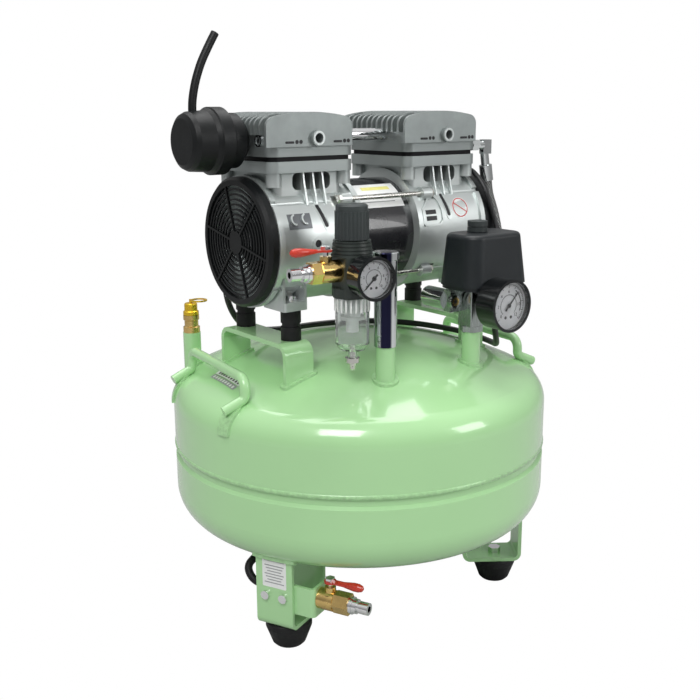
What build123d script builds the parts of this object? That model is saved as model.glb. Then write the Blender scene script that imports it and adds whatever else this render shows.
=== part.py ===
"""Oil-free twin-head air compressor on a low round tank, in millimetres, +Z up.

The origin is on the floor under the axis of the tank.  The motor lies along X over the
tank, the gauges and valves face -Y, and the intake silencer is at the -X end.
"""

from build123d import *
from math import atan2, cos, pi, radians, sin, sqrt, tan
import os

os.makedirs("parts", exist_ok=True)

# ---------------------------------------------------------------- driving dimensions
# tank
tank_r = 200
tank_wall = 3
seam_z = 182
joggle_depth = 3.1
joggle_length = 12
crown_r = 439
crown_knuckle_r = 30
crown_start_z = 224
base_crown_r = 620
base_knuckle_r = 38
base_start_z = 134
rod_d = 10

# legs, feet and handles
leg_angles = (-155, -35, 85)
leg_outer_r = 182
leg_inner_r = 116
leg_side_low = -20
leg_side_high = 21
strap_t = 4
foot_r = 155
foot_h = 27
foot_top_d = 47
foot_bottom_d = 31
handle_turn = -6.8
handle_r = 165.3
handle_half = 67
handle_z = 277

# motor
motor_z = 400
left_head_x = -88.8
right_head_x = 75.4
motor_mid_x = -4
barrel_r = 62
rim_r = 64.5
barrel_half = 47
stroke_r = 8
bore_r = 25
shaft_r = 8.5
rod_length = 38.5
bearing_r = 20
bearing_w = 12
stator_r = 55
fan_cover_r = 63
mount_y = 42
left_mount_x = -115.5
right_mount_x = 113.5
bracket_w = 32.6
bracket_half = 58.5
bracket_top_z = 306.7
mount_h = 30.6

rim_inner_gap = 34

# cylinder heads
flange_low_z = 467.5
flange_top_z = 478
plate_low_z = 482
plate_top_z = 491.5
cover_top_z = 519
cover_crown = 4
plate_half_x = 49
plate_half_y = 50
cover_shift_x = -8.5
cover_half_y = 54
head_bolt_x = 40
head_bolt_y = 41

# intake side
silencer_y = -6
silencer_z = 497

# pneumatic column
riser_x = -57
riser_y = -116
column_turn = 173
pipe_z = 382
regulator_at = 36.5
outlet_stem_at = 64
switch_x = 55
switch_y = -117
cover_x = 67
cover_y = -120
post_r = 9.5
post_top_z = 305

# safety valve
safety_x = -140
safety_y = 116

# ---------------------------------------------------------------- shared helpers


def finish(piece, name):
    """Label a finished sub-part and write its STEP file."""
    piece.part.label = name
    export_step(piece.part, f"parts/{name}.step")
    return piece


def crown_z(radius):
    """Height of the tank's top surface at a distance from the axis, on the crown."""
    return crown_centre_z + sqrt(crown_r**2 - radius**2)


def corner_radii(points):
    """Largest gentle radius at each corner of a route."""
    radii = []
    for before, corner, after in zip(points, points[1:], points[2:]):
        run_in = Vector(*corner) - Vector(*before)
        run_out = Vector(*after) - Vector(*corner)
        half_turn = radians(run_in.get_angle(run_out)) / 2
        radii.append(0.45 * min(run_in.length, run_out.length) / tan(half_turn))
    return radii


def tube(name, points, diameter, radii=None):
    """A round tube or rod along a route of straight runs and tangent arcs."""
    radii = radii or corner_radii(points)
    with BuildPart() as piece:
        with BuildLine() as path:
            FilletPolyline(*points, radius=radii)
        with BuildSketch(Plane(origin=path.line @ 0, z_dir=path.line % 0)):
            Circle(diameter / 2)
        sweep()
    length = sum(edge.length for edge in path.edges())
    ratio = piece.part.volume / (pi * diameter**2 / 4 * length)
    print(f"{name}: length {length:.0f}, volume ratio {ratio:.4f},",
          "radii", [round(r) for r in radii])
    return piece


def across_x(x):
    """A plane across the motor's axis, with its z axis along +X and its y axis up."""
    return Plane(origin=(x, 0, motor_z), x_dir=(0, 1, 0), z_dir=(1, 0, 0))


crown_centre_z = crown_start_z - sqrt(
    (crown_r - crown_knuckle_r) ** 2 - (tank_r - crown_knuckle_r) ** 2
)
base_centre_z = base_start_z + sqrt(
    (base_crown_r - base_knuckle_r) ** 2 - (tank_r - base_knuckle_r) ** 2
)
tank_top_z = crown_centre_z + crown_r
tank_bottom_z = base_centre_z - base_crown_r


def dish_points(inset, top):
    """The three points that fix a dished end's knuckle and crown, from rim to axis."""
    knuckle = (crown_knuckle_r if top else base_knuckle_r) - inset
    crown = (crown_r if top else base_crown_r) - inset
    start_z = crown_start_z if top else base_start_z
    centre_z = crown_centre_z if top else base_centre_z
    side = 1 if top else -1
    knuckle_x = tank_r - inset - knuckle
    lean = atan2(knuckle_x, side * (start_z - centre_z))
    join = (crown * sin(lean), centre_z + side * crown * cos(lean))
    middle = (
        knuckle_x + knuckle * sin((lean + pi / 2) / 2),
        start_z + side * knuckle * cos((lean + pi / 2) / 2),
    )
    crown_mid = (crown * sin(lean / 2), centre_z + side * crown * cos(lean / 2))
    apex = (0, centre_z + side * crown)
    return (tank_r - inset, start_z), middle, join, crown_mid, apex


def dish_line(inset, top):
    """Knuckle arc and crown arc of one dished end, in the current line."""
    rim, middle, join, crown_mid, apex = dish_points(inset, top)
    ThreePointArc(rim, middle, join)
    ThreePointArc(join, crown_mid, apex)
    return rim, apex


# ---------------------------------------------------------------- tank
with BuildPart() as tank_solid:
    with BuildSketch(Plane.XZ):
        with BuildLine():
            top_rim, top_apex = dish_line(0, True)
            low_rim, low_apex = dish_line(0, False)
            Line(top_rim, low_rim)
            Line(top_apex, low_apex)
        make_face()
    revolve(axis=Axis.Z)

with BuildPart() as tank_upper_shell:
    with BuildSketch(Plane.XZ):
        with BuildLine():
            outer_rim, outer_apex = dish_line(0, True)
            inner_rim, inner_apex = dish_line(tank_wall, True)
            Polyline(outer_rim, (tank_r, seam_z), (tank_r - tank_wall, seam_z), inner_rim)
            Line(outer_apex, inner_apex)
        make_face()
    revolve(axis=Axis.Z)
finish(tank_upper_shell, "tank_upper_shell")

joggle_r = tank_r - joggle_depth
joggle_low_z = seam_z - joggle_length
with BuildPart() as tank_lower_shell:
    with BuildSketch(Plane.XZ):
        with BuildLine():
            outer_rim, outer_apex = dish_line(0, False)
            inner_rim, inner_apex = dish_line(tank_wall, False)
            Polyline(
                outer_rim,
                (tank_r, joggle_low_z - 3),
                (joggle_r, joggle_low_z),
                (joggle_r, seam_z + joggle_length),
                (joggle_r - tank_wall, seam_z + joggle_length),
                (joggle_r - tank_wall, joggle_low_z - 2),
                (tank_r - tank_wall, joggle_low_z - 5),
                inner_rim,
            )
            Line(outer_apex, inner_apex)
        make_face()
    revolve(axis=Axis.Z)
finish(tank_lower_shell, "tank_lower_shell")

port_places = ((riser_x, riser_y), (switch_x, switch_y), (safety_x, safety_y))
safety_port_z = 290
drain_boss_low_z = 60
thread_r = 6.5
with BuildPart() as tank_ports:
    with BuildSketch(Plane.XY.offset(240)):
        with Locations(port_places[:2]):
            Circle(post_r)
    extrude(amount=post_top_z - 240)
    with BuildSketch(Plane.XY.offset(230)):
        with Locations(port_places[2]):
            Circle(post_r)
    extrude(amount=safety_port_z - 230)
    with BuildSketch(Plane.XY.offset(drain_boss_low_z)):
        Circle(11)
    extrude(amount=20)
    add(tank_solid.part, mode=Mode.SUBTRACT)
    with BuildSketch(Plane.XY.offset(post_top_z)):
        with Locations(port_places[:2]):
            Circle(thread_r)
    extrude(amount=-14, mode=Mode.SUBTRACT)
    with BuildSketch(Plane.XY.offset(safety_port_z)):
        with Locations(port_places[2]):
            Circle(thread_r)
    extrude(amount=-14, mode=Mode.SUBTRACT)
    with BuildSketch(Plane.XY.offset(drain_boss_low_z)):
        Circle(thread_r)
    extrude(amount=8, mode=Mode.SUBTRACT)
finish(tank_ports, "tank_ports")


# ---------------------------------------------------------------- legs and feet
def leg_plane(angle, side=0):
    """A plane through a leg: x outward, y up, its normal along the leg's -side."""
    outward = (cos(radians(angle)), sin(radians(angle)), 0)
    sideways = (-sin(radians(angle)), cos(radians(angle)), 0)
    origin = tuple(side * value for value in sideways)
    normal = tuple(-value for value in sideways)
    return Plane(origin=origin, x_dir=outward, z_dir=normal)


def leg_face(angle, radius):
    """An upright plane facing outward along a leg: x along its side, y up."""
    outward = (cos(radians(angle)), sin(radians(angle)), 0)
    sideways = (-sin(radians(angle)), cos(radians(angle)), 0)
    origin = tuple(radius * value for value in outward)
    return Plane(origin=origin, x_dir=sideways, z_dir=outward)


def leg_floor(angle, height=0):
    """A level plane with x outward along a leg, at a height."""
    return Plane(
        origin=(0, 0, height),
        x_dir=(cos(radians(angle)), sin(radians(angle)), 0),
        z_dir=(0, 0, 1),
    )


leg_width = leg_side_high - leg_side_low
leg_bend_r = 9
leg_top_z = 125
drain_angle = leg_angles[0]
drain_screws = ((-9, 62), (11, 62))
drain_pipe_r = 165
drain_pipe_z = 63
tab_side = 43
tab_t = 3
foot_screw_r = 4
with BuildPart() as leg_straps:
    for angle in leg_angles:
        with BuildSketch(leg_plane(angle, leg_side_high)):
            with BuildLine():
                FilletPolyline(
                    (leg_outer_r, leg_top_z),
                    (leg_outer_r, foot_h),
                    (leg_inner_r, foot_h),
                    (leg_inner_r, leg_top_z),
                    radius=leg_bend_r,
                )
                FilletPolyline(
                    (leg_outer_r - strap_t, leg_top_z),
                    (leg_outer_r - strap_t, foot_h + strap_t),
                    (leg_inner_r + strap_t, foot_h + strap_t),
                    (leg_inner_r + strap_t, leg_top_z),
                    radius=leg_bend_r - strap_t,
                )
                Line((leg_outer_r, leg_top_z), (leg_outer_r - strap_t, leg_top_z))
                Line((leg_inner_r, leg_top_z), (leg_inner_r + strap_t, leg_top_z))
            make_face()
        extrude(amount=leg_width)
        with BuildSketch(leg_floor(angle, foot_h)):
            with Locations((foot_r, 0)):
                Circle(foot_screw_r)
        extrude(amount=strap_t, mode=Mode.SUBTRACT)
    add(tank_solid.part, mode=Mode.SUBTRACT)
    with BuildSketch(leg_face(drain_angle, leg_outer_r + 1)):
        with Locations(*drain_screws):
            Circle(2.5)
    extrude(amount=-strap_t - 2, mode=Mode.SUBTRACT)

# the drain valve's bracket: a plate behind the leg's outer face, bent inward at its end
bracket_face_r = leg_outer_r - strap_t - 0.05
with BuildPart() as drain_bracket:
    with BuildSketch(leg_floor(drain_angle, 46)):
        with BuildLine():
            FilletPolyline(
                (bracket_face_r, -15),
                (bracket_face_r, tab_side),
                (drain_pipe_r - 14, tab_side),
                radius=5,
            )
            FilletPolyline(
                (bracket_face_r - tab_t, -15),
                (bracket_face_r - tab_t, tab_side - tab_t),
                (drain_pipe_r - 14, tab_side - tab_t),
                radius=2,
            )
            Line((bracket_face_r, -15), (bracket_face_r - tab_t, -15))
            Line((drain_pipe_r - 14, tab_side), (drain_pipe_r - 14, tab_side - tab_t))
        make_face()
    extrude(amount=30)
    with BuildSketch(leg_plane(drain_angle, tab_side)):
        with Locations((drain_pipe_r, drain_pipe_z)):
            Circle(8)
    extrude(amount=tab_t, mode=Mode.SUBTRACT)
    with BuildSketch(leg_face(drain_angle, leg_outer_r - strap_t + 1)):
        with Locations(*drain_screws):
            Circle(2.5)
    extrude(amount=-tab_t - 2, mode=Mode.SUBTRACT)
with leg_straps:
    add(drain_bracket.part)
finish(leg_straps, "leg_straps")

with BuildPart() as rubber_feet:
    for angle in leg_angles:
        foot_axis = Axis(
            (foot_r * cos(radians(angle)), foot_r * sin(radians(angle)), 0), (0, 0, 1)
        )
        with BuildSketch(leg_plane(angle)):
            with BuildLine():
                Polyline(
                    (foot_r + foot_screw_r, foot_h),
                    (foot_r + foot_top_d / 2 - 1.5, foot_h),
                    (foot_r + foot_top_d / 2, foot_h - 1.5),
                    (foot_r + foot_top_d / 2, foot_h - 7),
                    (foot_r + foot_bottom_d / 2 + 1.5, 2.5),
                    (foot_r + foot_bottom_d / 2 - 1, 0),
                    (foot_r + 8, 0),
                    (foot_r + 8, 12),
                    (foot_r + foot_screw_r, 12),
                    close=True,
                )
            make_face()
        revolve(axis=foot_axis)
finish(rubber_feet, "rubber_feet")


# ---------------------------------------------------------------- handles
def handle_point(turn, outward, along, height):
    """A point given from a handle's own middle, in the compressor's frame."""
    angle = radians(turn)
    return (
        outward * cos(angle) - along * sin(angle),
        outward * sin(angle) + along * cos(angle),
        height,
    )


with BuildPart() as lift_handles:
    for turn in (handle_turn, handle_turn + 180):
        route = [
            handle_point(turn, handle_r + 23, -handle_half + 1, 248),
            handle_point(turn, handle_r + 1, -handle_half, 257.5),
            handle_point(turn, handle_r, -handle_half, handle_z),
            handle_point(turn, handle_r, handle_half, handle_z),
            handle_point(turn, handle_r + 1, handle_half, 257.5),
            handle_point(turn, handle_r + 23, handle_half - 1, 248),
        ]
        with BuildLine() as route_line:
            FilletPolyline(*route, radius=[7, 11, 11, 7])
        with BuildSketch(Plane(origin=route_line.line @ 0, z_dir=route_line.line % 0)):
            Circle(rod_d / 2)
        sweep(path=route_line.line)
    add(tank_solid.part, mode=Mode.SUBTRACT)
finish(lift_handles, "lift_handles")

# ---------------------------------------------------------------- motor brackets
bracket_t = 4.5
bracket_bend_r = 13
bracket_low_z = 262
with BuildPart() as motor_brackets:
    for x in (left_mount_x - 4.4, right_mount_x - 4.2):
        with BuildSketch(Plane(origin=(x - bracket_w / 2, 0, 0), x_dir=(0, 1, 0),
                               z_dir=(1, 0, 0))):
            with BuildLine():
                FilletPolyline(
                    (-bracket_half - 4, bracket_low_z),
                    (-bracket_half - 4, bracket_top_z),
                    (bracket_half, bracket_top_z),
                    (bracket_half, bracket_low_z),
                    radius=bracket_bend_r,
                )
                FilletPolyline(
                    (-bracket_half - 4 + bracket_t, bracket_low_z),
                    (-bracket_half - 4 + bracket_t, bracket_top_z - bracket_t),
                    (bracket_half - bracket_t, bracket_top_z - bracket_t),
                    (bracket_half - bracket_t, bracket_low_z),
                    radius=bracket_bend_r - bracket_t,
                )
                Line((-bracket_half - 4, bracket_low_z),
                     (-bracket_half - 4 + bracket_t, bracket_low_z))
                Line((bracket_half, bracket_low_z),
                     (bracket_half - bracket_t, bracket_low_z))
            make_face()
        extrude(amount=bracket_w)
    add(tank_solid.part, mode=Mode.SUBTRACT)
    with BuildSketch(Plane.XY.offset(bracket_top_z + 1)):
        for x in (left_mount_x, right_mount_x):
            with Locations((x, -mount_y), (x, mount_y)):
                Circle(4.2)
    extrude(amount=-bracket_t - 2, mode=Mode.SUBTRACT)
finish(motor_brackets, "motor_brackets")


# ---------------------------------------------------------------- rubber posts and bolts
mount_places = [(x, y) for x in (left_mount_x, right_mount_x) for y in (-mount_y, mount_y)]
mount_top_z = bracket_top_z + mount_h
lug_t = 8.5
with BuildPart() as vibration_mounts:
    with BuildSketch(Plane.XY.offset(bracket_top_z)):
        with Locations(*mount_places):
            Circle(10)
            Circle(4, mode=Mode.SUBTRACT)
    extrude(amount=mount_h)
    with BuildSketch(Plane.XY.offset(bracket_top_z + mount_h / 2 - 2)):
        with Locations(*mount_places):
            Circle(11)
            Circle(8.8, mode=Mode.SUBTRACT)
    extrude(amount=4, mode=Mode.SUBTRACT)
finish(vibration_mounts, "vibration_mounts")

head_places = [
    (centre_x + side_x * head_bolt_x, side_y * head_bolt_y)
    for centre_x in (left_head_x - 2.2, right_head_x - 2.2)
    for side_x in (-1, 1)
    for side_y in (-1, 1)
]
with BuildPart() as screws:
    with BuildSketch(Plane.XY.offset(bracket_top_z - bracket_t - 5)):
        with Locations(*mount_places):
            RegularPolygon(5.4, 6)
    extrude(amount=5)
    with BuildSketch(Plane.XY.offset(bracket_top_z - bracket_t - 5)):
        with Locations(*mount_places):
            Circle(3.9)
    extrude(amount=mount_h + bracket_t + lug_t + 5)
    with BuildSketch(Plane.XY.offset(mount_top_z + lug_t)):
        with Locations(*mount_places):
            Circle(6)
    extrude(amount=4.5)
    with BuildSketch(Plane.XY.offset(plate_top_z)):
        with Locations(*head_places):
            Circle(4.8)
    extrude(amount=5.5)
    with BuildSketch(Plane.XY.offset(flange_low_z - 12)):
        with Locations(*head_places):
            Circle(2.9)
    extrude(amount=plate_top_z - flange_low_z + 12)
    for angle in leg_angles:
        with BuildSketch(leg_floor(angle, foot_h + strap_t)):
            with Locations((foot_r, 0)):
                RegularPolygon(7, 6)
        extrude(amount=5.5)
        with BuildSketch(leg_floor(angle, 7)):
            with Locations((foot_r, 0)):
                Circle(foot_screw_r - 0.1)
        extrude(amount=foot_h + strap_t - 7)
        with BuildSketch(leg_floor(angle, 7)):
            with Locations((foot_r, 0)):
                Circle(7.5)
        extrude(amount=5)
    with BuildSketch(leg_face(drain_angle, leg_outer_r)):
        with Locations(*drain_screws):
            Circle(4.4)
    extrude(amount=3)
    with BuildSketch(leg_face(drain_angle, leg_outer_r)):
        with Locations(*drain_screws):
            Circle(2.4)
    extrude(amount=-strap_t - tab_t - 4)
finish(screws, "screws")

# ---------------------------------------------------------------- crankcases
chamber_r = 40
neck_half_x = 39
neck_half_y = 42
window_half_x = 22
window_low_z = 450
fin_t = 2.2
foot_lug_w = 27
foot_rib_t = 2.6
left_skirt = 8
spigot_depth = 4


screw_boss_z = 454.5
tie_boss_at = 12
tie_r = 2.6
tie_rise = 40
tie_y = 50
tie_places = [(y, rise) for y in (-tie_y, tie_y) for rise in (-tie_rise, tie_rise)]


def screws_of(head_x):
    """The head screws that stand round one cylinder."""
    return [place for place in head_places if abs(place[0] - head_x) < plate_half_x]


def crankcase(name, head_x, side):
    """A barrel round the shaft with a cylinder neck, a flange on top and two feet.

    side is -1 for the -X crankcase and +1 for the other: its open end faces that way.
    """
    inner_x = motor_mid_x + side * rim_inner_gap
    outer_x = inner_x + side * 2 * barrel_half
    if side < 0:
        outer_x -= left_skirt
    low_x, high_x = sorted((inner_x, outer_x))
    flange_x = head_x - 2.2
    mount_x = left_mount_x if side < 0 else right_mount_x
    lug_x = mount_x - 3
    with BuildPart() as piece:
        with BuildSketch(across_x(low_x)):
            Circle(barrel_r)
        extrude(amount=high_x - low_x)
        for rim_x in (low_x, high_x - 6):
            with BuildSketch(across_x(rim_x)):
                Circle(rim_r)
            extrude(amount=6)
        # neck, flange and the four screw bosses
        with BuildSketch(Plane.XY.offset(motor_z + 20)):
            with Locations((flange_x, 0)):
                RectangleRounded(2 * neck_half_x, 2 * neck_half_y, 8)
        extrude(amount=flange_low_z - motor_z - 20)
        with BuildSketch(Plane.XY.offset(flange_low_z)):
            with Locations((flange_x, 0)):
                RectangleRounded(2 * plate_half_x, 2 * plate_half_y, 10)
        extrude(amount=flange_top_z - flange_low_z)
        with BuildSketch(Plane.XY.offset(screw_boss_z)):
            with Locations(*screws_of(head_x)):
                Circle(7.5)
        extrude(amount=flange_low_z - screw_boss_z)
        # bosses for the tie rods
        boss_low = min(inner_x + side * tie_boss_at, inner_x + side * (tie_boss_at + 12))
        with BuildSketch(across_x(boss_low)):
            with Locations(*tie_places):
                Circle(6.5)
        extrude(amount=12)
        # feet: a block under each side of the barrel, ending in a lug
        for side_y in (-1, 1):
            with BuildSketch(Plane.XY.offset(mount_top_z)):
                with Locations((lug_x, side_y * (mount_y + 1))):
                    RectangleRounded(foot_lug_w, 26, 3)
            extrude(amount=lug_t)
            for rib_x in (lug_x - foot_lug_w / 2, lug_x + foot_lug_w / 2 - foot_rib_t):
                with BuildSketch(Plane(origin=(rib_x, 0, 0), x_dir=(0, 1, 0),
                                       z_dir=(1, 0, 0))):
                    with BuildLine():
                        Polyline(
                            (side_y * (mount_y + 13), mount_top_z),
                            (side_y * (mount_y + 13), mount_top_z + lug_t),
                            (side_y * 54, motor_z - 14),
                            (side_y * 20, motor_z - 45),
                            (side_y * 20, mount_top_z),
                            close=True,
                        )
                    make_face()
                extrude(amount=foot_rib_t)
        # crank chamber, open at the fan end; bearing seat; cylinder bore
        chamber_x = inner_x + side * (bearing_w + spigot_depth)
        chamber_low, chamber_high = sorted((chamber_x, outer_x))
        with BuildSketch(across_x(chamber_low)):
            Circle(chamber_r)
        extrude(amount=chamber_high - chamber_low, mode=Mode.SUBTRACT)
        seat_low, seat_high = sorted((inner_x + side * spigot_depth, chamber_x))
        with BuildSketch(across_x(seat_low)):
            Circle(bearing_r)
        extrude(amount=seat_high - seat_low, mode=Mode.SUBTRACT)
        open_low, open_high = sorted((inner_x, inner_x + side * spigot_depth))
        with BuildSketch(across_x(open_low)):
            Circle(stator_r)
        extrude(amount=open_high - open_low, mode=Mode.SUBTRACT)
        mouth_low, mouth_high = sorted((outer_x, outer_x - side * 20))
        with BuildSketch(across_x(mouth_low)):
            Circle(barrel_r - 5)
        extrude(amount=mouth_high - mouth_low, mode=Mode.SUBTRACT)
        with BuildSketch(Plane.XY.offset(motor_z)):
            with Locations((head_x, 0)):
                Circle(bore_r + 2.5)
        extrude(amount=flange_top_z - motor_z, mode=Mode.SUBTRACT)
        # cooling windows in the neck, with fins left standing in them
        with BuildSketch(Plane(origin=(0, 0, 0), x_dir=(1, 0, 0), z_dir=(0, -1, 0))):
            with Locations((head_x, (window_low_z + flange_low_z) / 2)):
                RectangleRounded(2 * window_half_x, flange_low_z - window_low_z - 1, 6)
            with Locations(*[(head_x + step * 11, (window_low_z + flange_low_z) / 2)
                             for step in (-1, 0, 1)]):
                Rectangle(fin_t, flange_low_z - window_low_z, mode=Mode.SUBTRACT)
        extrude(amount=60, both=True, mode=Mode.SUBTRACT)
        # screw holes
        with BuildSketch(Plane.XY.offset(flange_low_z - 12)):
            with Locations(*screws_of(head_x)):
                Circle(2.9)
        extrude(amount=flange_top_z - flange_low_z + 12, mode=Mode.SUBTRACT)
        with BuildSketch(across_x(low_x)):
            with Locations(*tie_places):
                Circle(tie_r + 0.1)
        extrude(amount=high_x - low_x, mode=Mode.SUBTRACT)
        nut_low = min(inner_x + side * (tie_boss_at + 12), inner_x + side * (tie_boss_at + 19))
        with BuildSketch(across_x(nut_low)):
            with Locations(*tie_places):
                Circle(6.2)
        extrude(amount=7, mode=Mode.SUBTRACT)
        with BuildSketch(Plane.XY.offset(mount_top_z)):
            with Locations((mount_x, -mount_y), (mount_x, mount_y)):
                Circle(4)
        extrude(amount=lug_t, mode=Mode.SUBTRACT)
        with BuildSketch(Plane.XY.offset(mount_top_z + lug_t)):
            with Locations((mount_x, -mount_y), (mount_x, mount_y)):
                Circle(6.8)
        extrude(amount=9, mode=Mode.SUBTRACT)
    return finish(piece, name)


crankcase_left = crankcase("crankcase_left", left_head_x, -1)
crankcase_right = crankcase("crankcase_right", right_head_x, 1)


# ---------------------------------------------------------------- fans and their covers
cover_reach = 18
grille_r = 60
grille_depth = 3
left_open_x = motor_mid_x - rim_inner_gap - 2 * barrel_half
right_open_x = motor_mid_x + rim_inner_gap + 2 * barrel_half
grille_bar = 1.8
grille_pitch = 4.8
hub_r = 11
spoke_count = 6
with BuildPart() as fan_covers:
    for open_x, side, skirt in ((left_open_x, -1, left_skirt), (right_open_x, 1, 0)):
        face = Plane(origin=(open_x + side * skirt, 0, motor_z), x_dir=(0, -side, 0),
                     z_dir=(side, 0, 0))
        grille_at = cover_reach - skirt
        with BuildSketch(face):
            Circle(fan_cover_r)
            Circle(fan_cover_r - 3, mode=Mode.SUBTRACT)
        extrude(amount=grille_at - grille_depth)
        with BuildSketch(face.offset(grille_at - grille_depth)):
            Circle(fan_cover_r)
            Circle(grille_r - 5, mode=Mode.SUBTRACT)
        with BuildSketch(face.offset(grille_at)):
            Circle(grille_r)
            Circle(grille_r - 5, mode=Mode.SUBTRACT)
        loft()
        # rings, hub and spokes, from the widest ring inwards
        with BuildSketch(face.offset(grille_at - 2.5)):
            for ring in range(10):
                ring_r = grille_r - 4 - ring * grille_pitch
                Circle(ring_r + grille_bar / 2)
                Circle(ring_r - grille_bar / 2, mode=Mode.SUBTRACT)
            Circle(hub_r)
        extrude(amount=1.5)
        with BuildSketch(face.offset(grille_at - 2.5)):
            Circle(hub_r)
            with PolarLocations(32, spoke_count, start_angle=108):
                Rectangle(50, 2)
        extrude(amount=2.5)
finish(fan_covers, "fan_covers")

fan_r = 52
blade_count = 7
fan_w = 12
with BuildPart() as cooling_fans:
    for open_x, side in ((left_open_x, -1), (right_open_x, 1)):
        face = Plane(origin=(open_x - side * 8, 0, motor_z), x_dir=(0, -side, 0),
                     z_dir=(side, 0, 0))
        with BuildSketch(face):
            Circle(18)
            Circle(shaft_r, mode=Mode.SUBTRACT)
            with PolarLocations(0, blade_count):
                with BuildLine():
                    outer = ThreePointArc((14, 4), (34, 10), (fan_r, 0))
                    inner = ThreePointArc((14, 1), (34, 7), (fan_r - 1, -4))
                    Line(outer @ 0, inner @ 0)
                    Line(outer @ 1, inner @ 1)
                make_face()
        extrude(amount=fan_w)
finish(cooling_fans, "cooling_fans")

# ---------------------------------------------------------------- electric motor
stator_low_x = motor_mid_x - rim_inner_gap
stator_length = 2 * rim_inner_gap
core_length = 48
air_gap = 0.5
rotor_r = 30
core_low_x = motor_mid_x - core_length / 2
with BuildPart() as stator_core:
    with BuildSketch(across_x(stator_low_x - spigot_depth + 0.5)):
        Circle(stator_r)
        Circle(stator_r - 6, mode=Mode.SUBTRACT)
    extrude(amount=stator_length + 2 * spigot_depth - 1)
    with BuildSketch(across_x(core_low_x)):
        Circle(stator_r - 6)
        Circle(rotor_r + air_gap, mode=Mode.SUBTRACT)
    extrude(amount=core_length)
finish(stator_core, "stator_core")

winding_l = 11
with BuildPart() as stator_windings:
    for low_x in (core_low_x - winding_l, core_low_x + core_length):
        with BuildSketch(across_x(low_x)):
            Circle(stator_r - 7)
            Circle(rotor_r + 4, mode=Mode.SUBTRACT)
        extrude(amount=winding_l)
    chamfer(stator_windings.edges().filter_by(GeomType.CIRCLE), 2.5)
finish(stator_windings, "stator_windings")

with BuildPart() as rotor_core:
    with BuildSketch(across_x(core_low_x)):
        Circle(rotor_r)
        Circle(shaft_r, mode=Mode.SUBTRACT)
    extrude(amount=core_length)
finish(rotor_core, "rotor_core")

shaft_low_x = left_open_x - 6
shaft_high_x = right_open_x + 6
with BuildPart() as motor_shaft:
    with BuildSketch(across_x(shaft_low_x)):
        Circle(shaft_r)
    extrude(amount=shaft_high_x - shaft_low_x)
    chamfer(motor_shaft.edges().filter_by(GeomType.CIRCLE), 1)
finish(motor_shaft, "motor_shaft")

seat_x = rim_inner_gap + spigot_depth
with BuildPart() as shaft_bearings:
    for low_x in (motor_mid_x - seat_x - bearing_w, motor_mid_x + seat_x):
        with BuildSketch(across_x(low_x)):
            Circle(bearing_r)
            Circle(shaft_r + 0.05, mode=Mode.SUBTRACT)
        extrude(amount=bearing_w)
finish(shaft_bearings, "shaft_bearings")

# each eccentric carries the big end of a rod, on opposite sides of the shaft
eccentric_r = 18
rod_w = 12
heads = ((left_head_x, 1), (right_head_x, -1))
with BuildPart() as eccentrics:
    for head_x, throw in heads:
        with BuildSketch(across_x(head_x - rod_w / 2)):
            with Locations((0, throw * stroke_r)):
                Circle(eccentric_r)
            Circle(shaft_r, mode=Mode.SUBTRACT)
        extrude(amount=rod_w)
        with BuildSketch(across_x(head_x - rod_w / 2 - 6)):
            Circle(14)
            with Locations((0, -throw * 14)):
                Rectangle(34, 22)
            Circle(shaft_r, mode=Mode.SUBTRACT)
        extrude(amount=5.5)
finish(eccentrics, "eccentrics")

rod_big_r = 24.5
rod_small_r = 8
pin_r = 4


def connecting_rod(name, head_x, throw):
    """A rod with its big end on the eccentric and its small end under the piston."""
    big_z = throw * stroke_r
    with BuildPart() as piece:
        with BuildSketch(across_x(head_x - rod_w / 2 + 0.5)):
            with Locations((0, big_z)):
                Circle(rod_big_r)
            with Locations((0, big_z + rod_length)):
                Circle(rod_small_r)
            with Locations((0, big_z + rod_length / 2)):
                Rectangle(11, rod_length)
            with Locations((0, big_z)):
                Circle(eccentric_r + 0.05, mode=Mode.SUBTRACT)
            with Locations((0, big_z + rod_length)):
                Circle(pin_r, mode=Mode.SUBTRACT)
        extrude(amount=rod_w - 1)
    return finish(piece, name)


connecting_rod("connecting_rod_left", *heads[0])
connecting_rod("connecting_rod_right", *heads[1])

piston_h = 24.5
piston_crown = 6
top_gap = 1
dead_centre_z = flange_top_z - top_gap


def piston(name, head_x, throw):
    """A cup piston: crown at the end of its stroke, open underneath."""
    top_z = dead_centre_z - (0 if throw > 0 else 2 * stroke_r)
    with BuildPart() as piece:
        with BuildSketch(Plane.XY.offset(top_z)):
            with Locations((head_x, 0)):
                Circle(bore_r - 0.07)
        extrude(amount=-piston_h)
        with BuildSketch(Plane.XY.offset(top_z - piston_crown)):
            with Locations((head_x, 0)):
                Circle(bore_r - 3)
        extrude(amount=-piston_h, mode=Mode.SUBTRACT)
    return finish(piece, name)


piston("piston_left", *heads[0])
piston("piston_right", *heads[1])

sleeve_h = 46
with BuildPart() as cylinder_sleeves:
    with BuildSketch(Plane.XY.offset(flange_top_z - sleeve_h)):
        for head_x, _ in heads:
            with Locations((head_x, 0)):
                Circle(bore_r + 2.5)
                Circle(bore_r, mode=Mode.SUBTRACT)
    extrude(amount=sleeve_h)
finish(cylinder_sleeves, "cylinder_sleeves")

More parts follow.
